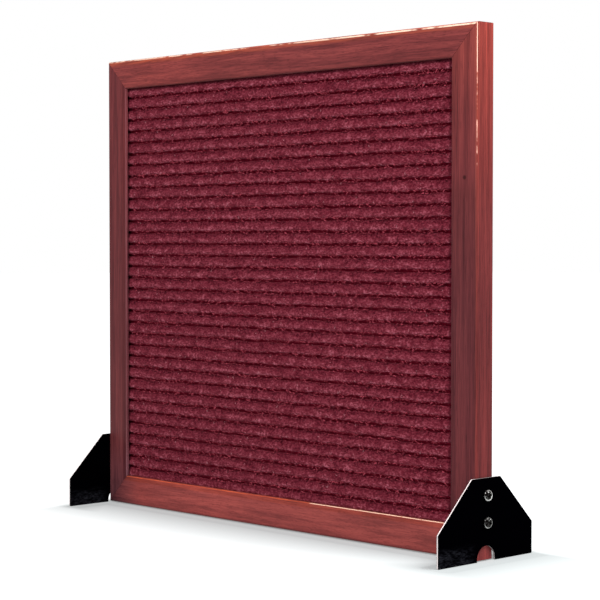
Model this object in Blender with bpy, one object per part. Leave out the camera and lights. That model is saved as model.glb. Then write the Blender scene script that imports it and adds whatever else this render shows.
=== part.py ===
"""Desk-top letter board: a mitred hardwood frame round a felt-covered, grooved letter panel,
standing on two flat steel feet that are screwed to its sides.

Metres, +Z up. The letter side faces -Y, the width runs along X, and the origin lies on the
table under the middle of the board. Left and right are those of a person who reads it.
"""

import math

import bmesh
import bpy

MM = 0.001

# Clearances
SEAT_GAP = 0.3 * MM  # between two pieces that rest on each other
GLUE_LINE = 0.12 * MM  # between the two faces of a glued mitre
EDGE_GAP = 0.5 * MM  # round the panel, inside its rabbet
CUT_OVERRUN = 1.0 * MM  # how far a cut runs on past the face it opens through

# Board
BOARD_WIDTH = 280.0 * MM
BOARD_HEIGHT = 254.0 * MM
BOARD_LIFT = 0.5 * MM  # the bottom rail stays this far off the table

# Frame moulding
FACE_WIDTH = 16.2 * MM
LIP_THICKNESS = 1.6 * MM
RABBET_WIDTH = 5.0 * MM
BACK_WOOD = 1.2 * MM  # wood left behind the slots of the panel points
OUTER_ARRIS = 1.3 * MM
OPENING_ARRIS = 0.7 * MM
BACK_ARRIS = 0.8 * MM

# Felt face: rows that lap like clapboards, with a slot for the letters' tabs under each
ROW_PITCH = 6.4 * MM
ROW_LAP = 0.8 * MM  # a row's upper edge stands this far behind its lower lip
SLOT_WIDTH = 0.9 * MM
SLOT_DEPTH = 3.2 * MM
FELT_THICKNESS = 0.7 * MM

# Grooved core board
CORE_THICKNESS = 4.6 * MM
CORE_EDGE_RADIUS = 0.3 * MM

# Backer board
BACKER_THICKNESS = 2.0 * MM
BACKER_EDGE = 0.25 * MM

# Panel points, the flat steel tabs that hold the panel in
POINT_THICKNESS = 0.4 * MM
POINT_WIDTH = 6.0 * MM
POINT_REACH = 8.0 * MM  # how far a point reaches over the backer board
POINT_CORNER = 1.0 * MM
POINT_BURY_SHARE = 0.45  # of the wood beside the rabbet
POINT_TIP_SHARE = 0.6  # of the buried length
RAIL_POINT_SHARES = (-0.62, 0.0, 0.62)  # of half the opening's width
STILE_POINT_SHARES = (-0.52, 0.52)  # of half the opening's height

# Corner nails, L-shaped steel strips driven across each mitre from the back
NAIL_WALL = 0.5 * MM
NAIL_SINK = 0.4 * MM
NAIL_SPOT_SHARES = {"outer": 0.5, "inner": 0.875}  # of the wood beside the rabbet
NAIL_LEG_SHARE = 0.375  # of the wood beside the rabbet
NAIL_HEIGHT_SHARE = 0.58  # of the moulding's depth

# Feet
FOOT_THICKNESS = 0.9 * MM
FOOT_DEPTH = 68.2 * MM
FOOT_TOP_DEPTH = 20.6 * MM
FOOT_HEIGHT = 39.7 * MM
FOOT_SIDE_HEIGHT = 15.8 * MM
FOOT_CORNER = 0.7 * MM
FOOT_EDGE = 0.15 * MM
NOTCH_MARGIN = 0.4 * MM  # the notch is this much wider than the moulding on each side
NOTCH_RISE = 1.0 * MM  # its straight sides, below the arch

# Screws
SCREW_DIAMETER = 2.84 * MM
HEAD_DIAMETER = 5.6 * MM
HEAD_HEIGHT = 1.9 * MM
HEAD_RIM_SHARE = 0.35  # of the head's height, straight at the rim
HEAD_FLAT_SHARE = 0.45  # of the head's radius, flat on top
RECESS_WIDTH_SHARE = 0.56  # of the head's diameter
RECESS_SLOT_SHARE = 0.16
RECESS_DEPTH_SHARE = 0.6  # of the head's height
RECESS_TAPER_SHARE = 0.4
SCREW_GRIP_SHARE = 0.7  # of the wood beside the rabbet
SCREW_TIP_SHARE = 1.0  # of the shank's diameter
SCREW_HEIGHT_SHARES = {"lower": 0.463, "upper": 0.79}  # of the foot's height

# Facets
ARRIS_STEPS = 5
ROW_STEPS = 4
CORE_STEPS = 2
CORNER_STEPS = 3
ARCH_STEPS = 18
DOME_STEPS = 5
ROUND_STEPS = 24
SHARP_ANGLE = math.radians(35)

# Sizes worked out from the ones above, with depths counted back from the frame's front face
CREST_DEPTH = LIP_THICKNESS + SEAT_GAP
CORE_FRONT = CREST_DEPTH + FELT_THICKNESS + SEAT_GAP
CORE_BACK = CORE_FRONT + CORE_THICKNESS
BACKER_FRONT = CORE_BACK + SEAT_GAP
POINT_FRONT = BACKER_FRONT + BACKER_THICKNESS + SEAT_GAP
FRAME_DEPTH = POINT_FRONT + POINT_THICKNESS + SEAT_GAP + BACK_WOOD
SIDE_WOOD = FACE_WIDTH - RABBET_WIDTH
OPENING_WIDTH = BOARD_WIDTH - 2 * FACE_WIDTH
OPENING_HEIGHT = BOARD_HEIGHT - 2 * FACE_WIDTH
PANEL_WIDTH = OPENING_WIDTH + 2 * (RABBET_WIDTH - EDGE_GAP)
PANEL_HEIGHT = OPENING_HEIGHT + 2 * (RABBET_WIDTH - EDGE_GAP)
FRONT_Y = -FRAME_DEPTH / 2
BACK_Y = FRAME_DEPTH / 2
POINT_BURY = SIDE_WOOD * POINT_BURY_SHARE
NAIL_LEG = SIDE_WOOD * NAIL_LEG_SHARE
NAIL_HEIGHT = FRAME_DEPTH * NAIL_HEIGHT_SHARE
SCREW_GRIP = SIDE_WOOD * SCREW_GRIP_SHARE
HOLE_RADIUS = SCREW_DIAMETER / 2 + SEAT_GAP
NOTCH_RADIUS = FRAME_DEPTH / 2 + NOTCH_MARGIN


# Meshes


def arc(across, up, radius, start, end, steps):
    """Points of an arc round (across, up), from one angle to another in degrees."""
    turns = [math.radians(start + (end - start) * i / steps) for i in range(steps + 1)]
    return [(across + radius * math.cos(t), up + radius * math.sin(t)) for t in turns]


def on_axis(axis, along, first, second):
    """A point given by its place along one axis and on the other two, in their order."""
    return {
        "X": (along, first, second),
        "Y": (first, along, second),
        "Z": (first, second, along),
    }[axis]


def finished_mesh(bm, name):
    """The mesh of a bmesh, with its faces pointing out."""
    bmesh.ops.recalc_face_normals(bm, faces=bm.faces)
    mesh = bpy.data.meshes.new(name)
    bm.to_mesh(mesh)
    bm.free()
    return mesh


def smooth(mesh):
    """Shades a turned mesh smooth, apart from its sharp edges."""
    mesh.shade_smooth()
    mesh.set_sharp_from_angle(angle=SHARP_ANGLE)
    return mesh


def loft(name, start, end):
    """A closed body between two outlines that have the same number of points."""
    bm = bmesh.new()
    rings = [[bm.verts.new(point) for point in outline] for outline in (start, end)]
    bm.faces.new(rings[0])
    bm.faces.new(rings[1])
    count = len(start)
    for i in range(count):
        j = (i + 1) % count
        bm.faces.new((rings[0][i], rings[0][j], rings[1][j], rings[1][i]))
    return finished_mesh(bm, name)


def prism(name, outline, axis, low, high):
    """An outline extruded along an axis, from one place to another."""
    start = [on_axis(axis, low, *point) for point in outline]
    end = [on_axis(axis, high, *point) for point in outline]
    return loft(name, start, end)


def ribbon(name, outer, inner, low, high):
    """A sheet whose section lies between two lines of points, extruded along X."""
    bm = bmesh.new()
    sections = []
    for along in (low, high):
        lines = [[bm.verts.new((along, *point)) for point in line] for line in (outer, inner)]
        sections.append(lines[0] + lines[1][::-1])
    count = len(outer)
    around = len(sections[0])
    for section in sections:
        for i in range(count - 1):
            back = around - 1 - i
            bm.faces.new((section[i], section[i + 1], section[back - 1], section[back]))
    for i in range(around):
        j = (i + 1) % around
        bm.faces.new((sections[0][i], sections[0][j], sections[1][j], sections[1][i]))
    return finished_mesh(bm, name)


def turned(name, profile):
    """A profile of (radius, height) points that starts and ends on the Z axis, spun round it."""
    bm = bmesh.new()
    verts = [bm.verts.new((radius, 0, height)) for radius, height in profile]
    edges = [bm.edges.new(pair) for pair in zip(verts, verts[1:])]
    bmesh.ops.spin(
        bm,
        geom=verts + edges,
        cent=(0, 0, 0),
        axis=(0, 0, 1),
        angle=2 * math.pi,
        steps=ROUND_STEPS,
    )
    bmesh.ops.remove_doubles(bm, verts=bm.verts, dist=SEAT_GAP / ROUND_STEPS)
    return smooth(finished_mesh(bm, name))


# Objects


def material(name, colour, roughness, metallic=0.0):
    """A plain finish."""
    made = bpy.data.materials.new(name)
    made.use_nodes = True
    shader = made.node_tree.nodes["Principled BSDF"]
    shader.inputs["Base Color"].default_value = (*colour, 1.0)
    shader.inputs["Roughness"].default_value = roughness
    shader.inputs["Metallic"].default_value = metallic
    return made


def stained_wood(name):
    return material(name + "_stain", (0.24, 0.045, 0.036), 0.32)


def bright_metal(name):
    return material(name + "_plating", (0.72, 0.71, 0.68), 0.24, 1.0)


def dull_metal(name):
    return material(name + "_zinc", (0.52, 0.53, 0.54), 0.45, 1.0)


def black_enamel(name):
    return material(name + "_enamel", (0.006, 0.006, 0.007), 0.16)


def burgundy_felt(name):
    return material(name + "_felt", (0.17, 0.017, 0.033), 0.95)


def fibreboard(name):
    return material(name + "_fibres", (0.2, 0.12, 0.065), 0.85)


def hardboard(name):
    return material(name + "_pressed_fibres", (0.13, 0.06, 0.03), 0.6)


def empty(name, parent=None, location=(0, 0, 0)):
    """A named group that pieces are parented to."""
    made = bpy.data.objects.new(name, None)
    made.empty_display_size = FACE_WIDTH
    made.parent = parent
    made.location = location
    bpy.context.scene.collection.objects.link(made)
    return made


def piece(name, mesh, parent, finish, location=(0, 0, 0), rotation=(0, 0, 0)):
    """A named part of the board. Its finish sits on the object, as pieces share meshes."""
    made = bpy.data.objects.new(name, mesh)
    made.parent = parent
    made.location = location
    made.rotation_euler = rotation
    bpy.context.scene.collection.objects.link(made)
    if not mesh.materials:
        mesh.materials.append(None)
    made.material_slots[0].link = "OBJECT"
    made.material_slots[0].material = finish(name)
    return made


def cutter_group(name):
    """A collection whose members are cut away together."""
    group = bpy.data.collections.new(name)
    bpy.context.scene.collection.children.link(group)
    return group


def cutter(name, mesh, group, parent, location=(0, 0, 0), rotation=(0, 0, 0)):
    """A helper that only removes material."""
    made = bpy.data.objects.new(name, mesh)
    made.parent = parent
    made.location = location
    made.rotation_euler = rotation
    made.hide_render = True
    made.display_type = "WIRE"
    group.objects.link(made)
    return made


def cut(target, group):
    """Removes every member of a cutter group from a piece."""
    boolean = target.modifiers.new(group.name, "BOOLEAN")
    boolean.operation = "DIFFERENCE"
    boolean.solver = "EXACT"
    boolean.operand_type = "COLLECTION"
    boolean.collection = group


def ease(target, width):
    """Takes the sharpness off every edge of a flat piece."""
    bevel = target.modifiers.new("eased_edges", "BEVEL")
    bevel.width = width
    bevel.segments = 2
    bevel.limit_method = "ANGLE"
    bevel.angle_limit = SHARP_ANGLE


def quarter_turn(count):
    """A rotation about Y by quarter turns."""
    return (0, count * math.pi / 2, 0)


# Frame


def moulding_section():
    """The moulding as (across from its outer edge, depth behind its front face)."""
    opening = FACE_WIDTH - OPENING_ARRIS
    points = arc(OUTER_ARRIS, OUTER_ARRIS, OUTER_ARRIS, 180, 270, ARRIS_STEPS)
    points += arc(opening, OPENING_ARRIS, OPENING_ARRIS, 270, 360, ARRIS_STEPS)
    points += [(FACE_WIDTH, LIP_THICKNESS), (SIDE_WOOD, LIP_THICKNESS), (SIDE_WOOD, FRAME_DEPTH)]
    points += arc(BACK_ARRIS, FRAME_DEPTH - BACK_ARRIS, BACK_ARRIS, 90, 180, ARRIS_STEPS)
    return points


def mitred_member(name, length):
    """A length of moulding along X with its outer edge down and both ends cut at 45 degrees."""
    glue_run = GLUE_LINE / math.sqrt(2)
    ends = []
    for side in (-1, 1):
        ends.append(
            [
                (side * (length / 2 - across - glue_run), FRONT_Y + depth, across)
                for across, depth in moulding_section()
            ]
        )
    return loft(name, *ends)


def nail_outline(clearance):
    """An L whose corner is at the origin and whose legs run along +X and +Z."""
    near = -NAIL_WALL / 2 - clearance
    far = NAIL_WALL / 2 + clearance
    tip = NAIL_LEG + clearance
    return [(near, near), (tip, near), (tip, far), (far, far), (far, tip), (near, tip)]


def make_corner_nails(frame, slots):
    """Two nails across each mitre, sunk a little below the frame's back."""
    back = BACK_Y - NAIL_SINK
    front = back - NAIL_HEIGHT
    nail_mesh = prism("corner_nail", nail_outline(0), "Y", front, back)
    slot_mesh = prism(
        "corner_nail_slot",
        nail_outline(SEAT_GAP),
        "Y",
        front - SEAT_GAP,
        BACK_Y + CUT_OVERRUN,
    )
    corners = {
        "top_right": (1, 1, 0),
        "top_left": (-1, 1, -1),
        "bottom_left": (-1, -1, 2),
        "bottom_right": (1, -1, 1),
    }
    for corner, (side, end, turns) in corners.items():
        for spot, share in NAIL_SPOT_SHARES.items():
            inset = SIDE_WOOD * share
            place = (side * (BOARD_WIDTH / 2 - inset), 0, end * (BOARD_HEIGHT / 2 - inset))
            name = f"corner_nail_{corner}_{spot}"
            piece(name, nail_mesh, frame, dull_metal, place, quarter_turn(turns))
            cutter(name + "_slot", slot_mesh, slots, frame, place, quarter_turn(turns))


def point_outline():
    """A panel point with its tip in the wood, along -Z, and its tab over the board, along +Z."""
    half = POINT_WIDTH / 2
    tab = EDGE_GAP + POINT_REACH
    shoulder = -POINT_BURY * (1 - POINT_TIP_SHARE)
    inner = half - POINT_CORNER
    points = [(0, -POINT_BURY), (half, shoulder)]
    points += arc(inner, tab - POINT_CORNER, POINT_CORNER, 0, 90, CORNER_STEPS)
    points += arc(-inner, tab - POINT_CORNER, POINT_CORNER, 90, 180, CORNER_STEPS)
    points += [(-half, shoulder)]
    return points


def point_slot_outline():
    """The slot that a panel point is driven into, open to the rabbet."""
    half = POINT_WIDTH / 2 + SEAT_GAP
    bottom = -POINT_BURY - SEAT_GAP
    return [(-half, bottom), (half, bottom), (half, CUT_OVERRUN), (-half, CUT_OVERRUN)]


def make_panel_points(frame, slots):
    """Panel points along all four members, lying on the backer board."""
    low = FRONT_Y + POINT_FRONT
    high = low + POINT_THICKNESS
    point_mesh = prism("panel_point", point_outline(), "Y", low, high)
    slot_mesh = prism(
        "panel_point_slot", point_slot_outline(), "Y", low - SEAT_GAP, high + SEAT_GAP
    )
    wall_x = BOARD_WIDTH / 2 - SIDE_WOOD
    wall_z = BOARD_HEIGHT / 2 - SIDE_WOOD
    places = []
    for number, share in enumerate(RAIL_POINT_SHARES, 1):
        along = share * OPENING_WIDTH / 2
        places.append((f"bottom_{number}", (along, 0, -wall_z), 0))
        places.append((f"top_{number}", (along, 0, wall_z), 2))
    for number, share in enumerate(STILE_POINT_SHARES, 1):
        along = share * OPENING_HEIGHT / 2
        places.append((f"left_{number}", (-wall_x, 0, along), 1))
        places.append((f"right_{number}", (wall_x, 0, along), -1))
    for place_name, place, turns in places:
        name = "panel_point_" + place_name
        piece(name, point_mesh, frame, dull_metal, place, quarter_turn(turns))
        cutter(name + "_slot", slot_mesh, slots, frame, place, quarter_turn(turns))


def make_frame(board, screw_holes):
    """The four mitred members, the nails across their corners and the points in their rabbets."""
    middle = BOARD_LIFT + BOARD_HEIGHT / 2
    frame = empty("frame", board, (0, 0, middle))
    slots = cutter_group("frame_slots")
    make_corner_nails(frame, slots)
    make_panel_points(frame, slots)
    rail_mesh = mitred_member("rail", BOARD_WIDTH)
    stile_mesh = mitred_member("stile", BOARD_HEIGHT)
    half_width = BOARD_WIDTH / 2
    half_height = BOARD_HEIGHT / 2
    members = {
        "frame_bottom_rail": (rail_mesh, (0, 0, -half_height), 0),
        "frame_top_rail": (rail_mesh, (0, 0, half_height), 2),
        "frame_left_stile": (stile_mesh, (-half_width, 0, 0), 1),
        "frame_right_stile": (stile_mesh, (half_width, 0, 0), -1),
    }
    for name, (mesh, place, turns) in members.items():
        member = piece(name, mesh, frame, stained_wood, place, quarter_turn(turns))
        cut(member, slots)
        if "stile" in name:
            cut(member, screw_holes)


# Letter panel


def row_line(inset, steps):
    """The panel's front as (Y, height above its middle) points, sunk in by an inset.

    The felt's outer line has no inset. The felt's inner line and the core board's front are
    the same line, set in by the thickness that lies in front of them.
    """
    edge_radius = CORE_EDGE_RADIUS + SEAT_GAP + FELT_THICKNESS
    radius = edge_radius - inset
    slot = SLOT_WIDTH / 2
    land = slot + 2 * edge_radius
    count = int((PANEL_HEIGHT - 2 * land) / ROW_PITCH) + 1
    crest = FRONT_Y + CREST_DEPTH
    floor = crest + SLOT_DEPTH + inset
    run = ROW_PITCH - 2 * (slot + edge_radius)
    slope = math.degrees(math.atan2(ROW_LAP, run))
    first = -(count - 1) / 2 * ROW_PITCH
    lip_y = crest + edge_radius
    top_y = lip_y + ROW_LAP

    points = [(crest + inset + ROW_LAP, -PANEL_HEIGHT / 2)]
    for row in range(count):
        centre = first + row * ROW_PITCH
        below = centre - slot - edge_radius
        above = centre + slot + edge_radius
        leaves = 180 if row == 0 else 180 - slope
        meets = 180 if row == count - 1 else 180 - slope
        points += arc(top_y, below, radius, leaves, 90, steps)
        points += [(floor, centre - slot - inset), (floor, centre + slot + inset)]
        points += arc(lip_y, above, radius, 270, meets, steps)
    points.append((crest + inset, PANEL_HEIGHT / 2))
    return points


def make_panel(board):
    """The felt face, the grooved core board that it is laid over, and the backer board."""
    middle = BOARD_LIFT + BOARD_HEIGHT / 2
    panel = empty("letter_panel", board, (0, 0, middle))
    half_width = PANEL_WIDTH / 2
    half_height = PANEL_HEIGHT / 2

    felt_mesh = ribbon(
        "felt",
        row_line(0, ROW_STEPS),
        row_line(FELT_THICKNESS, ROW_STEPS),
        -half_width,
        half_width,
    )
    piece("felt_face", felt_mesh, panel, burgundy_felt)

    core_back = FRONT_Y + CORE_BACK
    core_line = row_line(FELT_THICKNESS + SEAT_GAP, CORE_STEPS)
    core_line += [(core_back, half_height), (core_back, -half_height)]
    core_mesh = prism("core", core_line, "X", -half_width, half_width)
    piece("grooved_core_board", core_mesh, panel, fibreboard)

    backer_outline = [
        (-half_width, -half_height),
        (half_width, -half_height),
        (half_width, half_height),
        (-half_width, half_height),
    ]
    low = FRONT_Y + BACKER_FRONT
    backer_mesh = prism("backer", backer_outline, "Y", low, low + BACKER_THICKNESS)
    backer = piece("backer_board", backer_mesh, panel, hardboard)
    ease(backer, BACKER_EDGE)


# Feet


def rounded_corner(before, corner, after, radius, steps):
    """An arc that rounds one corner of an outline, tangent to both of its sides."""
    sides = []
    for other in (before, after):
        run = math.dist(corner, other)
        sides.append(((other[0] - corner[0]) / run, (other[1] - corner[1]) / run))
    (ax, ay), (bx, by) = sides
    half = math.acos(ax * bx + ay * by) / 2
    middle = math.hypot(ax + bx, ay + by)
    reach = radius / math.sin(half) / middle
    centre = (corner[0] + (ax + bx) * reach, corner[1] + (ay + by) * reach)
    start = math.degrees(math.atan2(-ay - by, -ax - bx)) - (90 - math.degrees(half))
    return arc(*centre, radius, start, start + 180 - 2 * math.degrees(half), steps)


def foot_outline():
    """A foot seen from its side, as (Y, Z): six corners and an arched notch under the board."""
    half = FOOT_DEPTH / 2
    top = FOOT_TOP_DEPTH / 2
    corners = [
        (half, 0),
        (half, FOOT_SIDE_HEIGHT),
        (top, FOOT_HEIGHT),
        (-top, FOOT_HEIGHT),
        (-half, FOOT_SIDE_HEIGHT),
        (-half, 0),
    ]
    points = []
    for i, corner in enumerate(corners):
        before = corners[i - 1]
        after = corners[(i + 1) % len(corners)]
        points += rounded_corner(before, corner, after, FOOT_CORNER, CORNER_STEPS)
    points.append((-NOTCH_RADIUS, 0))
    points += arc(0, NOTCH_RISE, NOTCH_RADIUS, 180, 0, ARCH_STEPS)
    points.append((NOTCH_RADIUS, 0))
    return points


def screw_profile():
    """A pan-head screw along Z, its head's underside at height 0 and its tip below."""
    head = HEAD_DIAMETER / 2
    flat = head * HEAD_FLAT_SHARE
    rim = HEAD_HEIGHT * HEAD_RIM_SHARE
    shank = SCREW_DIAMETER / 2
    length = SCREW_GRIP + FOOT_THICKNESS + 2 * SEAT_GAP
    taper = SCREW_DIAMETER * SCREW_TIP_SHARE
    dome = arc(0, 0, 1, 90, 0, DOME_STEPS)
    points = [(0, HEAD_HEIGHT)]
    points += [(flat + (head - flat) * x, rim + (HEAD_HEIGHT - rim) * y) for x, y in dome]
    points += [(head, 0), (shank, 0), (shank, taper - length), (0, -length)]
    return points


def recess_mesh():
    """The cross recess of a screw head: a plus sign that tapers to its bottom."""
    reach = HEAD_DIAMETER * RECESS_WIDTH_SHARE / 2
    half = HEAD_DIAMETER * RECESS_SLOT_SHARE / 2
    depth = HEAD_HEIGHT * RECESS_DEPTH_SHARE
    arm = [(half, half), (half, reach), (-half, reach)]
    plus = []
    for _ in range(4):
        plus += arm
        arm = [(-y, x) for x, y in arm]
    top = HEAD_HEIGHT + CUT_OVERRUN
    bottom = HEAD_HEIGHT - depth
    grow = 1 + (1 - RECESS_TAPER_SHARE) * CUT_OVERRUN / depth
    start = [(x * grow, y * grow, top) for x, y in plus]
    end = [(x * RECESS_TAPER_SHARE, y * RECESS_TAPER_SHARE, bottom) for x, y in plus]
    return loft("cross_recess", start, end)


def make_feet(board, screw_holes):
    """A plate on each side of the board, held by two screws."""
    foot_mesh = prism("foot", foot_outline(), "X", 0, FOOT_THICKNESS)
    screw_mesh = turned("screw", screw_profile())
    cross_mesh = recess_mesh()
    hole_circle = arc(0, 0, HOLE_RADIUS, 0, 360, ROUND_STEPS)[:-1]
    hole_top = FOOT_THICKNESS + SEAT_GAP + CUT_OVERRUN
    hole_mesh = prism("screw_hole", hole_circle, "Z", -SCREW_GRIP - SEAT_GAP, hole_top)
    for side_name, side in (("left", -1), ("right", 1)):
        group = empty(side_name + "_foot_set", board, (side * BOARD_WIDTH / 2, 0, 0))
        turn = quarter_turn(side)
        inner = side * SEAT_GAP if side > 0 else -SEAT_GAP - FOOT_THICKNESS
        foot = piece(side_name + "_foot", foot_mesh, group, black_enamel, (inner, 0, 0))
        ease(foot, FOOT_EDGE)
        cut(foot, screw_holes)
        under_head = side * (SEAT_GAP + FOOT_THICKNESS + SEAT_GAP)
        for height_name, share in SCREW_HEIGHT_SHARES.items():
            height = FOOT_HEIGHT * share
            name = f"{side_name}_foot_{height_name}_screw"
            place = (under_head, 0, height)
            screw = piece(name, screw_mesh, group, bright_metal, place, turn)
            crosses = cutter_group(name + "_recess")
            cutter(name + "_cross", cross_mesh, crosses, group, place, turn)
            cut(screw, crosses)
            cutter(name + "_hole", hole_mesh, screw_holes, group, (0, 0, height), turn)


def main():
    for old in list(bpy.data.objects):
        bpy.data.objects.remove(old, do_unlink=True)
    board = empty("letter_board")
    screw_holes = cutter_group("screw_holes")
    make_frame(board, screw_holes)
    make_panel(board)
    make_feet(board, screw_holes)


if __name__ == "__main__":
    main()
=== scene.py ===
"""Dresses the desk-top letter board: stained frame, slotted felt, black feet, bright screws.

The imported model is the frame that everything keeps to. Metres, +Z up, the letter side faces -Y.
"""

import logging
import math
import random
from collections.abc import Callable, Iterable, Mapping, Sequence
from dataclasses import dataclass
from enum import Enum
from functools import reduce

import bmesh
import bpy
from mathutils import Matrix, Vector, noise


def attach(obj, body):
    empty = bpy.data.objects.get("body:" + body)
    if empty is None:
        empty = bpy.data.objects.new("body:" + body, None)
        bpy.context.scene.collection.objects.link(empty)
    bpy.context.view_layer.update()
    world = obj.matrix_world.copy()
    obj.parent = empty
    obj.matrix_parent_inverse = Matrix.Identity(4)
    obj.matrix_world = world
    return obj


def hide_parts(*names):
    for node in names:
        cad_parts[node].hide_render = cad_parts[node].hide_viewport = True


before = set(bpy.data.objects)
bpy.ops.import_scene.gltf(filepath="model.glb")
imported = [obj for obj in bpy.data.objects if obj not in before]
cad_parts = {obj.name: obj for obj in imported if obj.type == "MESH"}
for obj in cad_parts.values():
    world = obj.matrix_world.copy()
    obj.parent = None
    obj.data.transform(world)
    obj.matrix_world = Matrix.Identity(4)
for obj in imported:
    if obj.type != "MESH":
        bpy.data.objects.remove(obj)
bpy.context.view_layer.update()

Colour = tuple[float, float, float]
Place = tuple[float, float, float]
Span = tuple[float, float]
Four = tuple[float, float, float, float]
Waves = tuple[Four, ...]
Socket = bpy.types.NodeSocket
Sockets = Mapping[str, Socket]
MM = 0.001
WHITE = (1.0, 1.0, 1.0)
BODY = "root"
log = logging.getLogger("letter_board")


class Grain(Enum):
    """Which way the wood's fibres run in a member, given as its axes from lengthwise on."""

    ALONG_RAIL = "XYZ"
    ALONG_STILE = "ZYX"


# Nodes


class NodeSheet:
    """Adds and joins the nodes of one material or node group."""

    def __init__(self, tree: bpy.types.NodeTree) -> None:
        """Starts on a node tree."""
        self.tree = tree

    def feed(self, socket: Socket, value: object) -> None:
        """Sets one input of a node.

        Args:
            socket: The input.
            value: A socket that feeds it, a number, a vector or a colour without alpha.
        """
        if isinstance(value, Socket):
            self.tree.links.new(value, socket)
        else:
            socket.default_value = (*value, 1.0) if socket.type == "RGBA" else value

    def put(self, node: bpy.types.Node, **values: object) -> Sockets:
        """Sets inputs of a node by name.

        Args:
            node: The node.
            **values: The inputs, each with _ for a space in its name.

        Returns:
            The node's outputs.
        """
        for name, value in values.items():
            self.feed(node.inputs[name.replace("_", " ")], value)
        return node.outputs

    def add(self, kind: str, *values: object, **settings: object) -> bpy.types.Node:
        """Adds a node.

        Args:
            kind: The node's type name, without its ShaderNode prefix.
            *values: What its first inputs are set to.
            **settings: Properties of the node.

        Returns:
            The node.
        """
        node = self.tree.nodes.new("ShaderNode" + kind)
        for name, value in settings.items():
            setattr(node, name, value)
        for socket, value in zip(node.inputs, values):
            self.feed(socket, value)
        return node

    def sums(self, operation: str, *values: object, clamp: bool = False) -> Socket:
        """One value worked out from others, each a socket or a number."""
        return self.add("Math", *values, operation=operation, use_clamp=clamp).outputs[0]

    def times(self, *values: object) -> Socket:
        """The product of values, each a socket or a number."""
        return reduce(lambda one, other: self.sums("MULTIPLY", one, other), values)

    def vectors(self, operation: str, *values: object) -> Socket:
        """One vector worked out from others, each a socket or three numbers."""
        return self.add("VectorMath", *values, operation=operation).outputs[0]

    def far(self, place: Socket, point: Place) -> Socket:
        """How far a place lies from a point."""
        return self.add("VectorMath", place, point, operation="DISTANCE").outputs["Value"]

    def parts(self, vector: Socket) -> Sockets:
        """A vector's X, Y and Z."""
        return self.add("SeparateXYZ", vector).outputs

    def read(self, name: str) -> Socket:
        """A coordinate of the piece: Object for the place on it, Normal for where it faces."""
        return self.add("TexCoord").outputs[name]

    def mark(self, name: str) -> Socket:
        """A value that the piece's own vertices hold."""
        return self.add("Attribute", attribute_name=name).outputs["Fac"]

    def spread(
        self, value: Socket, low: float, high: float, first: float = 0.0, last: float = 1.0
    ) -> Socket:
        """A value whose range from low to high becomes first to last, with soft ends."""
        values = (value, low, high, first, last)
        return self.add("MapRange", *values, interpolation_type="SMOOTHSTEP").outputs[0]

    def clouds(self, vector: Socket, scale: object, detail: float, rough: float = 0.5) -> Socket:
        """Noise from 0 to 1: its clouds to a metre, its finer layers and how strong these are."""
        values = {"Vector": vector, "Scale": scale, "Detail": detail, "Roughness": rough}
        return self.put(self.add("TexNoise"), **values)["Fac"]

    def blend(self, share: object, first: object, second: object) -> Socket:
        """Two colours, each a socket or plain, mixed by the share of the second."""
        node = self.add("Mix", data_type="RGBA", clamp_factor=True)
        return self.put(node, Factor=share, A=first, B=second)["Result"]

    def ramp(self, value: Socket, stops: Sequence[tuple[float, Colour]]) -> Socket:
        """Turns a value into colours.

        Args:
            value: The value.
            stops: Places from 0 to 1, with their colours.

        Returns:
            The colour.
        """
        node = self.add("ValToRGB", value)
        marks = node.color_ramp.elements
        while len(marks) < len(stops):
            marks.new(0.5)
        for mark, (place, colour) in zip(marks, stops):
            mark.position = place
            mark.color = (*colour, 1.0)
        return node.outputs["Color"]

    def relief(self, height: Socket, distance: float, strength: float = 1.0) -> Socket:
        """A normal that follows heights from 0 to 1, where 1 stands for a distance in metres."""
        node = self.add("Bump")
        return self.put(node, Strength=strength, Distance=distance, Height=height)["Normal"]

    def group(self, effect: "type[SharedEffect]", **values: object) -> Sockets:
        """Places a shared effect and sets its inputs."""
        return self.put(self.add("Group", node_tree=effect.tree()), **values)

    def surface(self, **values: object) -> None:
        """Sets inputs of the material's own shader."""
        self.put(self.tree.nodes["Principled BSDF"], **values)


class SharedEffect:
    """A node group that several finishes use, built the first time that one asks for it.

    It takes values, each named here with its default, and vectors, which have none.
    """

    name = ""
    takes: dict[str, float | None] = {}
    gives: tuple[str, ...] = ()

    @classmethod
    def tree(cls) -> bpy.types.NodeTree:
        """The effect's node group.

        Returns:
            The group, with its sockets and nodes.
        """
        made = bpy.data.node_groups.get(cls.name)
        if made:
            return made
        made = bpy.data.node_groups.new(cls.name, "ShaderNodeTree")
        for label, default in cls.takes.items():
            kind = "NodeSocketVector" if default is None else "NodeSocketFloat"
            socket = made.interface.new_socket(label, in_out="INPUT", socket_type=kind)
            if default is not None:
                socket.default_value = default
        for label in cls.gives:
            made.interface.new_socket(label, in_out="OUTPUT", socket_type="NodeSocketFloat")
        sheet = NodeSheet(made)
        start = made.nodes.new("NodeGroupInput")
        sheet.put(made.nodes.new("NodeGroupOutput"), **cls.wire(sheet, start.outputs))
        return made

    @classmethod
    def wire(cls, sheet: NodeSheet, inputs: Sockets) -> dict[str, Socket]:
        """Joins the effect's nodes.

        Args:
            sheet: The group's nodes.
            inputs: What the group takes.

        Returns:
            What it gives, by name.
        """
        raise NotImplementedError


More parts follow.
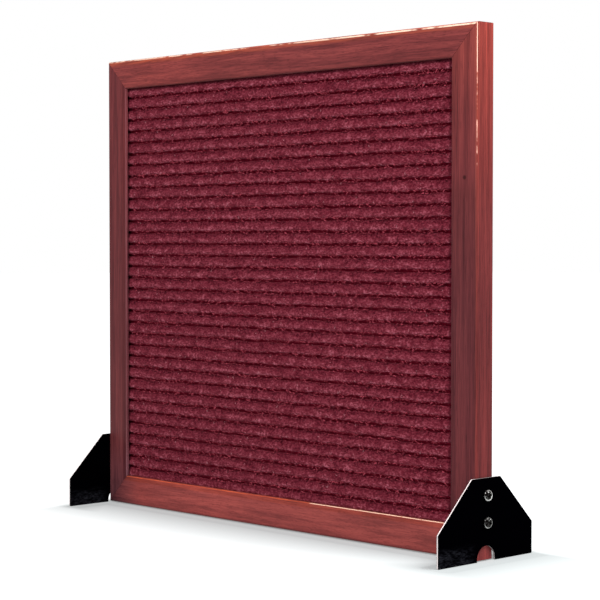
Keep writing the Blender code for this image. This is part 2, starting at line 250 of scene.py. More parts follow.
class LongGrain(SharedEffect):
    """Streaks, broad bands and open pores that run along the first axis of a vector.

    A layer is given by its width and length beside the streaks', and how many finer layers it has.
    """

    name = "long_grain"
    takes = {
        "Vector": None,
        "Streak Width": 0.8 * MM,
        "Streak Length": 45 * MM,
        "Wander": 1.5 * MM,
    }
    gives = ("Streaks", "Bands", "Pores")
    swing_scale = 14.0
    rough = 0.6
    layers = (("Streaks", 1.0, 1.0, 3.0), ("Bands", 4.4, 4.0, 1.0), ("Pores", 0.45, 0.22, 0.0))
    pore_span = (0.60, 0.72)

    @classmethod
    def wire(cls, sheet: NodeSheet, inputs: Sockets) -> dict[str, Socket]:
        """Joins the nodes of the grain.

        Args:
            sheet: The group's nodes.
            inputs: What the group takes.

        Returns:
            What it gives, by name.
        """
        swing = sheet.clouds(inputs["Vector"], cls.swing_scale, 1.0)
        swing = sheet.times(sheet.sums("SUBTRACT", swing, 0.5), inputs["Wander"])
        split = sheet.parts(inputs["Vector"])
        along = sheet.sums("DIVIDE", split["X"], inputs["Streak Length"])
        given = {}
        for label, wide, long, detail in cls.layers:
            axes = [sheet.sums("DIVIDE", along, long)]
            for side in "YZ":
                across = sheet.sums("ADD", split[side], swing)
                across = sheet.sums("DIVIDE", across, inputs["Streak Width"])
                axes.append(sheet.sums("DIVIDE", across, wide))
            stretched = sheet.add("CombineXYZ", *axes).outputs[0]
            given[label] = sheet.clouds(stretched, 1.0, detail, cls.rough)
        given["Pores"] = sheet.spread(given["Pores"], *cls.pore_span)
        return given


class ArrisWearAndHighlight(SharedEffect):
    """Where a face rounds off to a side, where it has almost reached it, and a worn pale line that
    is also a painted highlight.
    """

    name = "arris_wear_and_highlight"
    takes = {
        "Vector": None,
        "Normal": None,
        "Patch Length": 9 * MM,
        "Amount": 0.5,
        "Centre": 0.5,
        "Breadth": 0.08,
    }
    gives = ("Arris", "Crest", "Rubbed Highlight")
    front_facing = 0.3
    breakup = (3.0, 0.7)
    worn_span = (0.0, 0.12)
    line_fade = (0.0, 0.14, 1.0, 0.0)
    line_turn = (0.0, 0.08)
    round_turn = (0.0, 0.25)

    @classmethod
    def wire(cls, sheet: NodeSheet, inputs: Sockets) -> dict[str, Socket]:
        """Joins the nodes of the wear.

        Args:
            sheet: The group's nodes.
            inputs: What the group takes.

        Returns:
            What it gives, by name.
        """
        forward = sheet.parts(inputs["Normal"])["Y"]
        facing = sheet.times(forward, forward)
        turn = sheet.times(facing, sheet.sums("SUBTRACT", 1.0, facing), 4.0)
        scale = sheet.sums("DIVIDE", 1.0, inputs["Patch Length"])
        patches = sheet.clouds(inputs["Vector"], scale, *cls.breakup)
        worn = sheet.sums("SUBTRACT", sheet.sums("ADD", patches, inputs["Amount"]), 1.0)
        worn = sheet.spread(worn, *cls.worn_span)
        off = sheet.sums("ABSOLUTE", sheet.sums("SUBTRACT", facing, inputs["Centre"]))
        off = sheet.sums("SUBTRACT", off, inputs["Breadth"])
        line = sheet.times(sheet.spread(off, *cls.line_fade), sheet.spread(turn, *cls.line_turn))
        rounded = sheet.spread(turn, *cls.round_turn)
        arris = sheet.times(rounded, sheet.sums("GREATER_THAN", facing, cls.front_facing))
        crest = sheet.sums("SUBTRACT", rounded, arris)
        return {"Arris": arris, "Crest": crest, "Rubbed Highlight": sheet.times(line, worn)}


class Mottle(SharedEffect):
    """Soft patches, fine specks and a height for fibres, dust and pressed boards."""

    name = "mottle"
    takes = {"Vector": None, "Patch Size": 3 * MM, "Speck Size": 0.5 * MM}
    gives = ("Patches", "Specks", "Height")
    layers = (("Patch Size", 3.0, 0.6), ("Speck Size", 2.0, 0.7))
    contrast = (0.3, 0.7)

    @classmethod
    def wire(cls, sheet: NodeSheet, inputs: Sockets) -> dict[str, Socket]:
        """Joins the nodes of the mottling.

        Args:
            sheet: The group's nodes.
            inputs: What the group takes.

        Returns:
            What it gives, by name.
        """
        patches, specks = (
            sheet.clouds(inputs["Vector"], sheet.sums("DIVIDE", 1.0, inputs[size]), detail, rough)
            for size, detail, rough in cls.layers
        )
        return {
            "Patches": sheet.spread(patches, *cls.contrast),
            "Specks": sheet.spread(specks, *cls.contrast),
            "Height": sheet.sums("MULTIPLY_ADD", patches, 0.5, specks),
        }


# Finishes


def dimmed(colour: Iterable[float], share: float) -> Colour:
    """A colour at a share of its strength."""
    return tuple(part * share for part in colour)


class Finish:
    """A material that is made from nodes, with its plain values on the shader's own sockets."""

    def start(self, name: str) -> tuple[bpy.types.Material, NodeSheet, Socket]:
        """Starts a material.

        Args:
            name: The material's name.

        Returns:
            The material, its sheet of nodes and the place on the piece.
        """
        made = bpy.data.materials.new(name)
        made.use_nodes = True
        sheet = NodeSheet(made.node_tree)
        return made, sheet, sheet.read("Object")


@dataclass(frozen=True)
class Member:
    """One length of the moulding: its node, its grain, its stain, its painted light and where it
    is worn.

    The streak is the grain's width and length. The fade gives tones along the member, from 0 to
    1 of its length, which partly paint light and shade. A tint changes from one tone to another
    between two places in millimetres along an axis, on the front alone if front_only is set;
    most of them are painted shade and light along the edges. The knot is a pin knot's place.

    The glow is an orange painted highlight on the arrises that catch light, of which glow_start
    shows where the worn line sets in, and the halo is how much of it spreads to the flats beside
    the outer arris, over its reach. The worn line, pale wood that is also a painted highlight, is
    given as its amount, where it lies on the arris and how broad it is, where it lies at the far
    end, how far apart its breaks are, where it starts across the board, and the stretch of the
    member over which it sets in.
    """

    node: str
    grain: Grain
    tone: float
    contrast: float
    streak: Span
    offset: float
    fade: tuple[Four, ...]
    tints_light_and_shade: tuple[tuple[str, float, float, Colour, Colour], ...] = ()
    front_only: bool = False
    knot: Place | None = None
    glow: Colour = (0.46, 0.085, 0.045)
    glow_start: float = 1.0
    halo: float = 0.0
    halo_reach: float = 1.2 * MM
    rubbed_highlight: Colour = (1.0, 0.76, 0.58)
    wear_and_highlight: float = 0.0
    line: Span = (0.5, 0.08)
    line_end: float | None = None
    breaks: float = 9 * MM
    wear_and_highlight_from: float = -1.0
    wear_and_highlight_rise: Span = (-1.0, -0.9)


@dataclass(frozen=True)
class StainedHardwood(Finish):
    """Dark red stain on streaky hardwood under satin lacquer, worn to pale wood on its arrises,
    where light and shade are also painted.
    """

    member: Member
    shadow: Colour = (0.112, 0.021, 0.0235)
    body: Colour = (0.205, 0.037, 0.039)
    flame: Colour = (0.310, 0.058, 0.056)
    stops: tuple[float, float, float] = (0.04, 0.48, 0.96)
    streak_share: float = 0.54
    streak_span: Span = (0.3, 0.7)
    band_share: float = 0.46
    band_span: Span = (0.34, 0.66)
    pore_share: float = 0.35
    pore_tone: float = 0.5
    pore_sink: float = -0.6
    pore_strength: float = 0.6
    wander: float = 0.9 * MM
    pore_depth: float = 0.03 * MM
    gloss: Span = (0.42, 0.30)
    specular: float = 0.06
    facing_down: float = -0.1
    facing_up: float = 0.3
    facing_ahead: Span = (0.8, 0.95)
    shaded: float = 0.6
    glow_patches: Four = (0.1, 0.8, 0.25, 0.75)
    width: float = 280 * MM
    high: float = 254.5 * MM
    front: float = -6.0 * MM
    arris: float = 1.3 * MM
    knot_size: Span = (0.5 * MM, 1.5 * MM)
    knot_share: float = 0.8
    knot_tone: float = 0.35

    def lit(self, colour: Colour) -> Colour:
        """A colour of the stain in this member's own contrast and tone."""
        parts = (mid + (part - mid) * self.member.contrast for part, mid in zip(colour, self.body))
        return dimmed(parts, self.member.tone)

    def worn_and_lit(self, sheet: NodeSheet, across: Socket, upward: Socket) -> Socket:
        """1 where this member's arrises are worn and carry painted highlight, never on edges that
        face down into shade.
        """
        beyond = sheet.sums("GREATER_THAN", across, self.member.wear_and_highlight_from)
        return sheet.times(beyond, sheet.sums("GREATER_THAN", upward, self.facing_down))

    def beside(self, sheet: NodeSheet, split: Sockets) -> Socket:
        """Where painted highlight makes the flats beside the outer arris redder towards it.

        Args:
            sheet: The material's nodes.
            split: The place on the piece, as X, Y and Z.

        Returns:
            How much, up to the member's halo.
        """
        rail = self.member.grain is Grain.ALONG_RAIL
        outer = (self.high if rail else self.width / 2) - self.arris
        reach = self.member.halo_reach
        out = split["Z" if rail else "X"]
        near = sheet.spread(out, outer - reach, outer, 0.0, self.member.halo)
        back = self.front + self.arris
        return sheet.times(near, sheet.spread(split["Y"], back, back + reach, 1.0, 0.0))

    def stained(self, sheet: NodeSheet, grain: Sockets, streaks: Socket) -> Socket:
        """The stain in the wood's streaks, bands and pores.

        Args:
            sheet: The material's nodes.
            grain: What the grain's group gives.
            streaks: Its streaks, stretched.

        Returns:
            The colour.
        """
        bands = sheet.times(sheet.spread(grain["Bands"], *self.band_span), self.band_share)
        wave = sheet.sums("MULTIPLY_ADD", streaks, self.streak_share, bands)
        tones = [self.lit(colour) for colour in (self.shadow, self.body, self.flame)]
        stain = sheet.ramp(wave, list(zip(self.stops, tones)))
        pores = sheet.times(grain["Pores"], self.pore_share)
        return sheet.blend(pores, stain, dimmed(self.lit(self.shadow), self.pore_tone))

    def toned(self, sheet: NodeSheet, stain: Socket, split: Sockets, turned: Sockets) -> Socket:
        """The stain with the member's fade along its length and its tinted strips, which partly
        paint light and shade.

        Args:
            sheet: The material's nodes.
            stain: The stain.
            split: The place on the piece, as X, Y and Z.
            turned: Where the surface faces, likewise.

        Returns:
            The colour.
        """
        member = self.member
        stile = member.grain is Grain.ALONG_STILE
        length, start = (self.high, 0.0) if stile else (self.width, 0.5)
        share = sheet.sums("DIVIDE", split[member.grain.value[0]], length)
        share = sheet.sums("ADD", share, start)
        # The fade partly paints light and shade along the member.
        # A ramp's colours stop at 1, so the fade is halved in it and doubled after it.
        halved = sheet.ramp(share, [(at, dimmed(tone, 0.5)) for at, *tone in member.fade])
        stain = sheet.vectors("MULTIPLY", stain, halved)
        tinted = faded = sheet.vectors("MULTIPLY", stain, (2.0, 2.0, 2.0))
        # Most tinted strips are painted shade and light along the member's edges.
        for axis, low, high, below, above in member.tints_light_and_shade:
            tint = sheet.blend(sheet.spread(split[axis], low * MM, high * MM), below, above)
            tinted = sheet.vectors("MULTIPLY", tinted, tint)
        front = sheet.spread(sheet.sums("ABSOLUTE", turned["Y"]), *self.facing_ahead)
        return sheet.blend(front, faded, tinted) if member.front_only else tinted

    def material(self) -> bpy.types.Material:
        """Makes the wood of one member.

        Returns:
            The material.
        """
        member = self.member
        made, sheet, place = self.start("stained_hardwood_" + member.node)
        split = sheet.parts(place)
        plank = sheet.add("CombineXYZ", *(split[axis] for axis in member.grain.value)).outputs[0]
        plank = sheet.vectors("ADD", plank, (member.offset, member.offset, 0.0))
        wide, long = member.streak
        grain = sheet.group(
            LongGrain, Vector=plank, Streak_Width=wide, Streak_Length=long, Wander=self.wander
        )
        streaks = sheet.spread(grain["Streaks"], *self.streak_span)
        stain = self.stained(sheet, grain, streaks)
        facing = sheet.read("Normal")
        turned = sheet.parts(facing)
        worn_and_lit = self.worn_and_lit(sheet, split["X"], turned["Z"])
        along = split[member.grain.value[0]]
        risen = sheet.spread(along, *member.wear_and_highlight_rise, 0.0, member.wear_and_highlight)
        centre, breadth = member.line
        if member.line_end:
            centre = sheet.spread(along, -self.width / 2, self.width / 2, centre, member.line_end)
        wear_and_highlight = sheet.group(
            ArrisWearAndHighlight,
            Vector=plank,
            Normal=facing,
            Patch_Length=member.breaks,
            Amount=sheet.times(worn_and_lit, risen),
            Centre=centre,
            Breadth=breadth,
        )
        edge = sheet.times(wear_and_highlight["Arris"], worn_and_lit)
        # Painted shade: arrises that are not worn and lit take part of the dark stain, and crests
        # facing up take all of it, as a dark line beside the highlight.
        painted_arris_shade = sheet.times(sheet.sums("SUBTRACT", wear_and_highlight["Arris"], edge), self.shaded)
        upward = sheet.sums("GREATER_THAN", turned["Z"], self.facing_up)
        painted_arris_shade = sheet.sums("MULTIPLY_ADD", wear_and_highlight["Crest"], upward, painted_arris_shade)
        stain = sheet.blend(painted_arris_shade, stain, self.lit(self.shadow))
        # Painted highlight: the orange glow on the worn and lit arrises and, as a halo, on the
        # flats beside the outer arris.
        if member.halo:
            edge = sheet.sums("MAXIMUM", edge, self.beside(sheet, split))
        patchy = sheet.spread(streaks, *self.glow_patches)
        set_in = sheet.spread(along, *member.wear_and_highlight_rise, member.glow_start, 1.0)
        edge = sheet.times(edge, patchy, set_in)
        stain = sheet.blend(edge, stain, dimmed(member.glow, member.tone))
        stain = self.toned(sheet, stain, split, turned)
        if member.knot:
            away = sheet.far(place, member.knot)
            dark = sheet.spread(away, *self.knot_size, self.knot_share, 0.0)
            stain = sheet.blend(dark, stain, dimmed(self.lit(self.shadow), self.knot_tone))
        height = sheet.sums("MULTIPLY_ADD", grain["Pores"], self.pore_sink, streaks)
        # The pale line on the arrises is worn wood and also a painted highlight.
        sheet.surface(
            Base_Color=sheet.blend(wear_and_highlight["Rubbed Highlight"], stain, member.rubbed_highlight),
            Roughness=sheet.spread(streaks, 0.0, 1.0, *self.gloss),
            Normal=sheet.relief(height, self.pore_depth, self.pore_strength),
            Specular_IOR_Level=self.specular,
        )
        return made


@dataclass(frozen=True)
class BurgundyFelt(Finish):
    """Matt, fuzzy, mottled felt, with painted light on each row: paler at its lower lip over a
    slot, darker at its top under the lip above.
    """

    # The slot walls are a brighter red than the pile: painted light that lifts the shade in the
    # slots.
    slot: Colour = (0.260, 0.008, 0.030)
    deep: Colour = (0.042, 0.001, 0.005)
    pile: tuple[tuple[float, Colour], ...] = (
        (0.15, (0.042, 0.001, 0.005)),
        (0.35, (0.112, 0.009, 0.019)),
        (0.58, (0.165, 0.018, 0.032)),
        (0.80, (0.270, 0.047, 0.070)),
        (1.0, (0.450, 0.112, 0.155)),
    )
    base: float = -0.03
    patch_share: float = 0.26
    speck_share: float = 0.48
    row_light_share: float = 0.45
    lie: Place = (0.6, 1.0, 1.0)
    patch: float = 4.2 * MM
    speck: float = 0.92 * MM
    height: float = 0.8 * MM
    sheen: Colour = (0.75, 0.35, 0.45)
    stile_shadow_shift: float = 1.0 * MM
    stile_shadow_span: Span = (121.2 * MM, 122.6 * MM)
    stile_shadow_share: float = 0.7

    def stile_shadow(self, sheet: NodeSheet, place: Socket) -> Socket:
        """Where a painted shadow darkens the felt as it runs in under the stiles.

        Args:
            sheet: The material's nodes.
            place: The place on the piece.

        Returns:
            How dark it is, from 0 to 1.
        """
        shifted = sheet.sums("ADD", sheet.parts(place)["X"], self.stile_shadow_shift)
        out = sheet.sums("ABSOLUTE", shifted)
        return sheet.spread(out, *self.stile_shadow_span, 0.0, self.stile_shadow_share)

    def material(self) -> bpy.types.Material:
        """Makes the felt.

        Returns:
            The material.
        """
        made, sheet, place = self.start("burgundy_felt_pile")
        lying = sheet.vectors("MULTIPLY", place, self.lie)
        mottle = sheet.group(Mottle, Vector=lying, Patch_Size=self.patch, Speck_Size=self.speck)
        mixed = sheet.sums("MULTIPLY_ADD", mottle["Patches"], self.patch_share, self.base)
        mixed = sheet.sums("MULTIPLY_ADD", mottle["Specks"], self.speck_share, mixed)
        mixed = sheet.sums("MULTIPLY_ADD", sheet.mark("painted_row_light"), self.row_light_share, mixed)
        cloth = sheet.ramp(mixed, self.pile)
        # Painted shadow where the felt runs in under the stiles.
        cloth = sheet.blend(self.stile_shadow(sheet, place), cloth, self.deep)
        # Painted light in the slots, by depth.
        sheet.surface(
            Base_Color=sheet.blend(sheet.mark("sunk"), cloth, self.slot),
            Normal=sheet.relief(mottle["Height"], self.height),
            Roughness=0.95,
            Specular_IOR_Level=0.05,
            Sheen_Weight=0.04,
            Sheen_Roughness=0.5,
            Sheen_Tint=self.sheen,
        )
        return made


@dataclass(frozen=True)
class LooseFibre(Finish):
    """Single fibres and lint that stand off the felt, each in a tone of its own."""

    name: str
    dark: Colour
    light: Colour

    def material(self) -> bpy.types.Material:
        """Makes the fibres.

        Returns:
            The material.
        """
        made, sheet, _ = self.start(self.name)
        colour = sheet.blend(sheet.mark("tone"), self.dark, self.light)
        sheet.surface(Base_Color=colour, Roughness=0.9, Specular_IOR_Level=0.05)
        return made


@dataclass(frozen=True)
class PressedFibre(Finish):
    """Board pressed from wood fibre: the grooved core or the backer."""

    name: str
    dark: Colour
    light: Colour
    patch: float
    speck: float
    rough: float
    rougher: float = 0.15
    speck_share: float = 0.55
    patch_share: float = 0.45
    depth: float = 0.08 * MM
    scratches: float = 0.0
    scratch_size: Span = (1.8 * MM, 190 * MM)
    scratch_lines: Span = (0.75, 1.0)
    scratch_places: Span = (0.6, 1.0)
    scratch_tone: float = 1.6
    slant: float = 0.5

    def scratched(self, sheet: NodeSheet, place: Socket, patches: Socket) -> Socket:
        """Fine slanting scratches in a few places.

        Args:
            sheet: The material's nodes.
            place: The place on the piece.
            patches: The board's soft patches.

        Returns:
            Where they are, from 0 to 1.
        """
        turned = sheet.put(sheet.add("Mapping"), Vector=place, Rotation=(0.0, self.slant, 0.0))[0]
        wide, long = self.scratch_size
        grain = sheet.group(LongGrain, Vector=turned, Streak_Width=wide, Streak_Length=long)
        lines = sheet.spread(grain["Pores"], *self.scratch_lines)
        return sheet.times(lines, sheet.spread(patches, *self.scratch_places))

    def material(self) -> bpy.types.Material:
        """Makes the board.

        Returns:
            The material.
        """
        made, sheet, place = self.start(self.name)
        mottle = sheet.group(Mottle, Vector=place, Patch_Size=self.patch, Speck_Size=self.speck)
        patches = mottle["Patches"]
        mixed = sheet.times(patches, self.patch_share)
        mixed = sheet.sums("MULTIPLY_ADD", mottle["Specks"], self.speck_share, mixed)
        colour = sheet.blend(mixed, self.dark, self.light)
        if self.scratches:
            marks = sheet.times(self.scratched(sheet, place, patches), self.scratches)
            colour = sheet.blend(marks, colour, dimmed(self.light, self.scratch_tone))
        sheet.surface(
            Base_Color=colour,
            Roughness=sheet.spread(patches, 0.0, 1.0, self.rough, self.rough + self.rougher),
            Normal=sheet.relief(mottle["Height"], self.depth, 0.5),
            Specular_IOR_Level=0.2,
        )
        return made


@dataclass(frozen=True)
class BlackEnamel(Finish):
    """Gloss black on sheet steel, thin on the cut edges, with a little dusting and a painted
    reflection of the floor low down.
    """

    paint: Colour = (0.0003, 0.0002, 0.0006)
    dust_and_sheen: Colour = (0.021, 0.021, 0.027)
    steel: Colour = (0.92, 0.81, 0.80)
    dust_and_sheen_low: Span = (3.675 * MM, 10.5 * MM)
    dust_and_sheen_ahead: Span = (-15 * MM, -6 * MM)
    dust_and_sheen_lie: Place = (1.0, 0.25, 1.0)
    dust_and_sheen_patch: float = 2.4 * MM
    dust_and_sheen_speck: float = 0.6 * MM
    gloss: Span = (0.16, 0.4)
    bare_from: float = 140.52 * MM
    bare_facing: Four = (0.1, 0.6, 1.0, 0.0)
    bare_patches: Four = (0.0, 0.5, 0.8, 1.0)
    notch_half: float = 8 * MM
    notch_share: float = -0.6

    def material(self) -> bpy.types.Material:
        """Makes the enamel.

        Returns:
            The material.
        """
        made, sheet, place = self.start("black_steel_enamel")
        split = sheet.parts(place)
        # A dusting with a painted reflection of the floor, low on the front of each plate.
        low = sheet.spread(split["Z"], *self.dust_and_sheen_low, 1.0, 0.0)
        fore = sheet.spread(split["Y"], *self.dust_and_sheen_ahead, 1.0, 0.0)
        lying = sheet.vectors("MULTIPLY", place, self.dust_and_sheen_lie)
        sizes = {"Patch_Size": self.dust_and_sheen_patch, "Speck_Size": self.dust_and_sheen_speck}
        mottle = sheet.group(Mottle, Vector=lying, **sizes)
        dust_and_sheen_film = sheet.times(low, fore, mottle["Patches"], mottle["Specks"])
        colour = sheet.blend(dust_and_sheen_film, self.paint, self.dust_and_sheen)
        flat = sheet.sums("ABSOLUTE", sheet.parts(sheet.read("Normal"))["X"])
        outward = sheet.sums("ABSOLUTE", split["X"])
        midway = sheet.sums("ABSOLUTE", split["Y"])
        notch = sheet.sums("LESS_THAN", midway, self.notch_half)
        bare = sheet.times(
            sheet.spread(flat, *self.bare_facing),
            sheet.sums("GREATER_THAN", outward, self.bare_from),
            sheet.sums("MULTIPLY_ADD", notch, self.notch_share, 1.0),
            sheet.spread(mottle["Patches"], *self.bare_patches),
        )
        sheet.surface(
            Base_Color=sheet.blend(bare, colour, self.steel),
            Roughness=sheet.spread(dust_and_sheen_film, 0.0, 1.0, *self.gloss),
            Specular_IOR_Level=0.0,
        )
        return made


@dataclass(frozen=True)
class Plating(Finish):
    """Plated steel with fine scratches and slight blotches, and where asked a painted dark crown
    and painted glints.
    """

    name: str
    bright: Colour
    dull: Colour
    gloss: Span
    patch: float
    specks: float = 6.0
    depth: float = 0.02 * MM
    crown_shade_tone: Colour = (0.004, 0.003, 0.003)
    crown_shade_patches: Four = (0.0, 0.25, 0.8, 1.0)
    glint: Colour = (0.95, 0.94, 0.92)
    glints: tuple[Place, ...] = ()
    glint_size: Span = (0.25 * MM, 0.55 * MM)

    def material(self, painted_crown_shade: str = "") -> bpy.types.Material:
        """Makes the metal.

        Args:
            painted_crown_shade: The attribute that says where painted shade darkens it, if it has
                one.

        Returns:
            The material.
        """
        made, sheet, place = self.start(self.name)
        speck = self.patch / self.specks
        mottle = sheet.group(Mottle, Vector=place, Patch_Size=self.patch, Speck_Size=speck)
        tone = mottle["Patches"]
        colour = sheet.blend(tone, self.bright, self.dull)
        # Painted shade: the crown goes dark in place of dark reflections, all but a bright ring.
        if painted_crown_shade:
            patchy = sheet.spread(tone, *self.crown_shade_patches)
            shaded_crown = sheet.sums("MULTIPLY", sheet.mark(painted_crown_shade), patchy, clamp=True)
            colour = sheet.blend(shaded_crown, colour, self.crown_shade_tone)
        # Painted glints: small bright spots that stand in for reflections.
        for glint in self.glints:
            glint_spot = sheet.spread(sheet.far(place, glint), *self.glint_size, 1.0, 0.0)
            colour = sheet.blend(glint_spot, colour, self.glint)
        sheet.surface(
            Base_Color=colour,
            Roughness=sheet.spread(tone, 0.0, 1.0, *self.gloss),
            Normal=sheet.relief(mottle["Specks"], self.depth, 0.5),
            Metallic=1.0,
        )
        return made


# Pieces


def dress(node: str, material: bpy.types.Material) -> None:
    """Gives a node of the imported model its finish, in all its material slots.

    Args:
        node: The node's name.
        material: The finish.
    """
    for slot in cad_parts[node].material_slots:
        slot.material = material
    log.info("%s: dressed", node)


def new_piece(
    name: str, bm: bmesh.types.BMesh, material: bpy.types.Material
) -> bpy.types.Object:
    """Makes a piece of the object from a bmesh.

    Args:
        name: The piece's name.
        bm: Its faces, which are freed.
        material: Its finish.

    Returns:
        The piece, riding on the board.
    """
    mesh = bpy.data.meshes.new(name)
    bm.to_mesh(mesh)
    bm.free()
    mesh.materials.append(material)
    piece = bpy.data.objects.new(name, mesh)
    bpy.context.scene.collection.objects.link(piece)
    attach(piece, BODY)
    return piece


def report(piece: bpy.types.Object) -> None:
    """Logs a new piece with its number of faces."""
    log.info("%s: %d faces", piece.name, len(piece.data.polygons))


# Sub-assemblies


@dataclass
class MitredFrame:
    """The four lengths of stained moulding.

    The rails have finer and shorter flecks than the stiles. The left stile is dull all over, and
    the right one has a pin knot and grows lighter and redder towards its top, partly painted
    light.
    """

    members: tuple[Member, ...] = (
        Member(
            node="frame_top_rail",
            grain=Grain.ALONG_RAIL,
            tone=0.97,
            contrast=0.85,
            streak=(0.80 * MM, 15 * MM),
            offset=0.31,
            fade=(
                (0.0, 1.03, 1.05, 1.0),
                (0.12, 1.18, 1.16, 1.05),
                (0.45, 1.04, 1.08, 1.02),
                (0.58, 0.95, 1.0, 0.98),
                (1.0, 0.97, 1.02, 0.98),
            ),
            # Painted shade on the lowest strip of the face, above the opening.
            tints_light_and_shade=(("Z", 239.0, 240.4, (0.74, 0.72, 0.74), WHITE),),
            halo=1.0,
            halo_reach=2.6 * MM,
            rubbed_highlight=(0.98, 0.66, 0.50),
            wear_and_highlight=0.62,
            line=(0.62, 0.10),
            line_end=0.90,
            breaks=20 * MM,
        ),
        Member(
            node="frame_bottom_rail",
            grain=Grain.ALONG_RAIL,
            tone=1.46,
            contrast=0.65,
            streak=(0.62 * MM, 10 * MM),
            offset=0.87,
            # The fade darkens into the lower left corner, which is painted shade.
            fade=(
                (0.0, 0.22, 0.34, 0.40),
                (0.03, 0.46, 0.64, 0.70),
                (0.06, 0.72, 0.90, 0.88),
                (0.10, 1.08, 1.14, 0.99),
                (0.35, 1.08, 1.14, 0.99),
                (0.5, 0.97, 1.04, 0.92),
                (1.0, 0.93, 1.01, 0.87),
            ),
            # Painted shade along the foot of the rail, and a painted orange highlight along its
            # upper edge.
            tints_light_and_shade=(
                ("Z", 1.2, 3.2, (0.80, 0.76, 0.78), WHITE),
                ("Z", 13.2, 14.6, WHITE, (1.06, 0.90, 0.74)),
            ),
            rubbed_highlight=(1.0, 0.63, 0.47),
            wear_and_highlight=0.68,
            line=(0.60, 0.20),
            wear_and_highlight_rise=(2 * MM, 34 * MM),
        ),
        Member(
            node="frame_left_stile",
            grain=Grain.ALONG_STILE,
            tone=0.63,
            contrast=0.75,
            streak=(0.75 * MM, 30 * MM),
            offset=1.43,
            fade=(
                (0.0, 0.74, 1.38, 1.62),
                (0.04, 0.98, 1.60, 1.82),
                (0.09, 1.16, 1.68, 1.86),
                (0.14, 1.06, 1.30, 1.38),
                (0.22, 1.0, 1.12, 1.20),
                (0.5, 0.97, 1.09, 1.18),
                (0.8, 1.12, 1.17, 1.25),
                (1.0, 1.12, 1.16, 1.24),
            ),
            # Painted shade on a strip of the face near the opening, and painted light on the inner
            # wall.
            tints_light_and_shade=(
                ("X", -128.8, -126.8, WHITE, (0.78, 0.67, 0.70)),
                ("X", -124.9, -124.5, WHITE, (1.28, 1.49, 1.43)),
                ("X", -124.4, -123.9, WHITE, (1.7, 2.1, 2.2)),
            ),
            glow=(0.23, 0.064, 0.066),
            wear_and_highlight_from=-130 * MM,
        ),
        Member(
            node="frame_right_stile",
            grain=Grain.ALONG_STILE,
            tone=0.57,
            contrast=0.9,
            streak=(0.70 * MM, 32 * MM),
            offset=2.05,
            # The fade grows lighter and redder towards the top, partly painted light from above.
            fade=(
                (0.0, 1.74, 1.58, 1.50),
                (0.03, 1.68, 1.52, 1.44),
                (0.07, 1.12, 0.98, 1.00),
                (0.12, 1.24, 1.06, 1.08),
                (0.30, 1.25, 1.13, 1.13),
                (0.45, 1.16, 1.08, 1.10),
                (0.65, 1.22, 1.12, 1.09),
                (0.75, 1.45, 1.26, 1.12),
                (0.83, 1.55, 1.35, 1.15),
                (0.94, 1.95, 1.65, 1.27),
                (1.0, 2.0, 1.7, 1.28),
            ),
            tints_light_and_shade=(("Z", 172, 187, (0.77, 0.93, 1.04), (0.92, 1.10, 1.28)),),
            front_only=True,
            knot=(132.2 * MM, -6 * MM, 181.6 * MM),
            glow=(0.35, 0.076, 0.057),
            glow_start=0.45,
            halo=0.3,
            rubbed_highlight=(0.95, 0.47, 0.37),
            wear_and_highlight=0.66,
            breaks=13 * MM,
            wear_and_highlight_from=130 * MM,
            wear_and_highlight_rise=(76.35 * MM, 254.5 * MM),
        ),
    )

    def build(self) -> None:
        """Dresses the four members, each as its own length of the plank."""
        for member in self.members:
            dress(member.node, StainedHardwood(member).material())


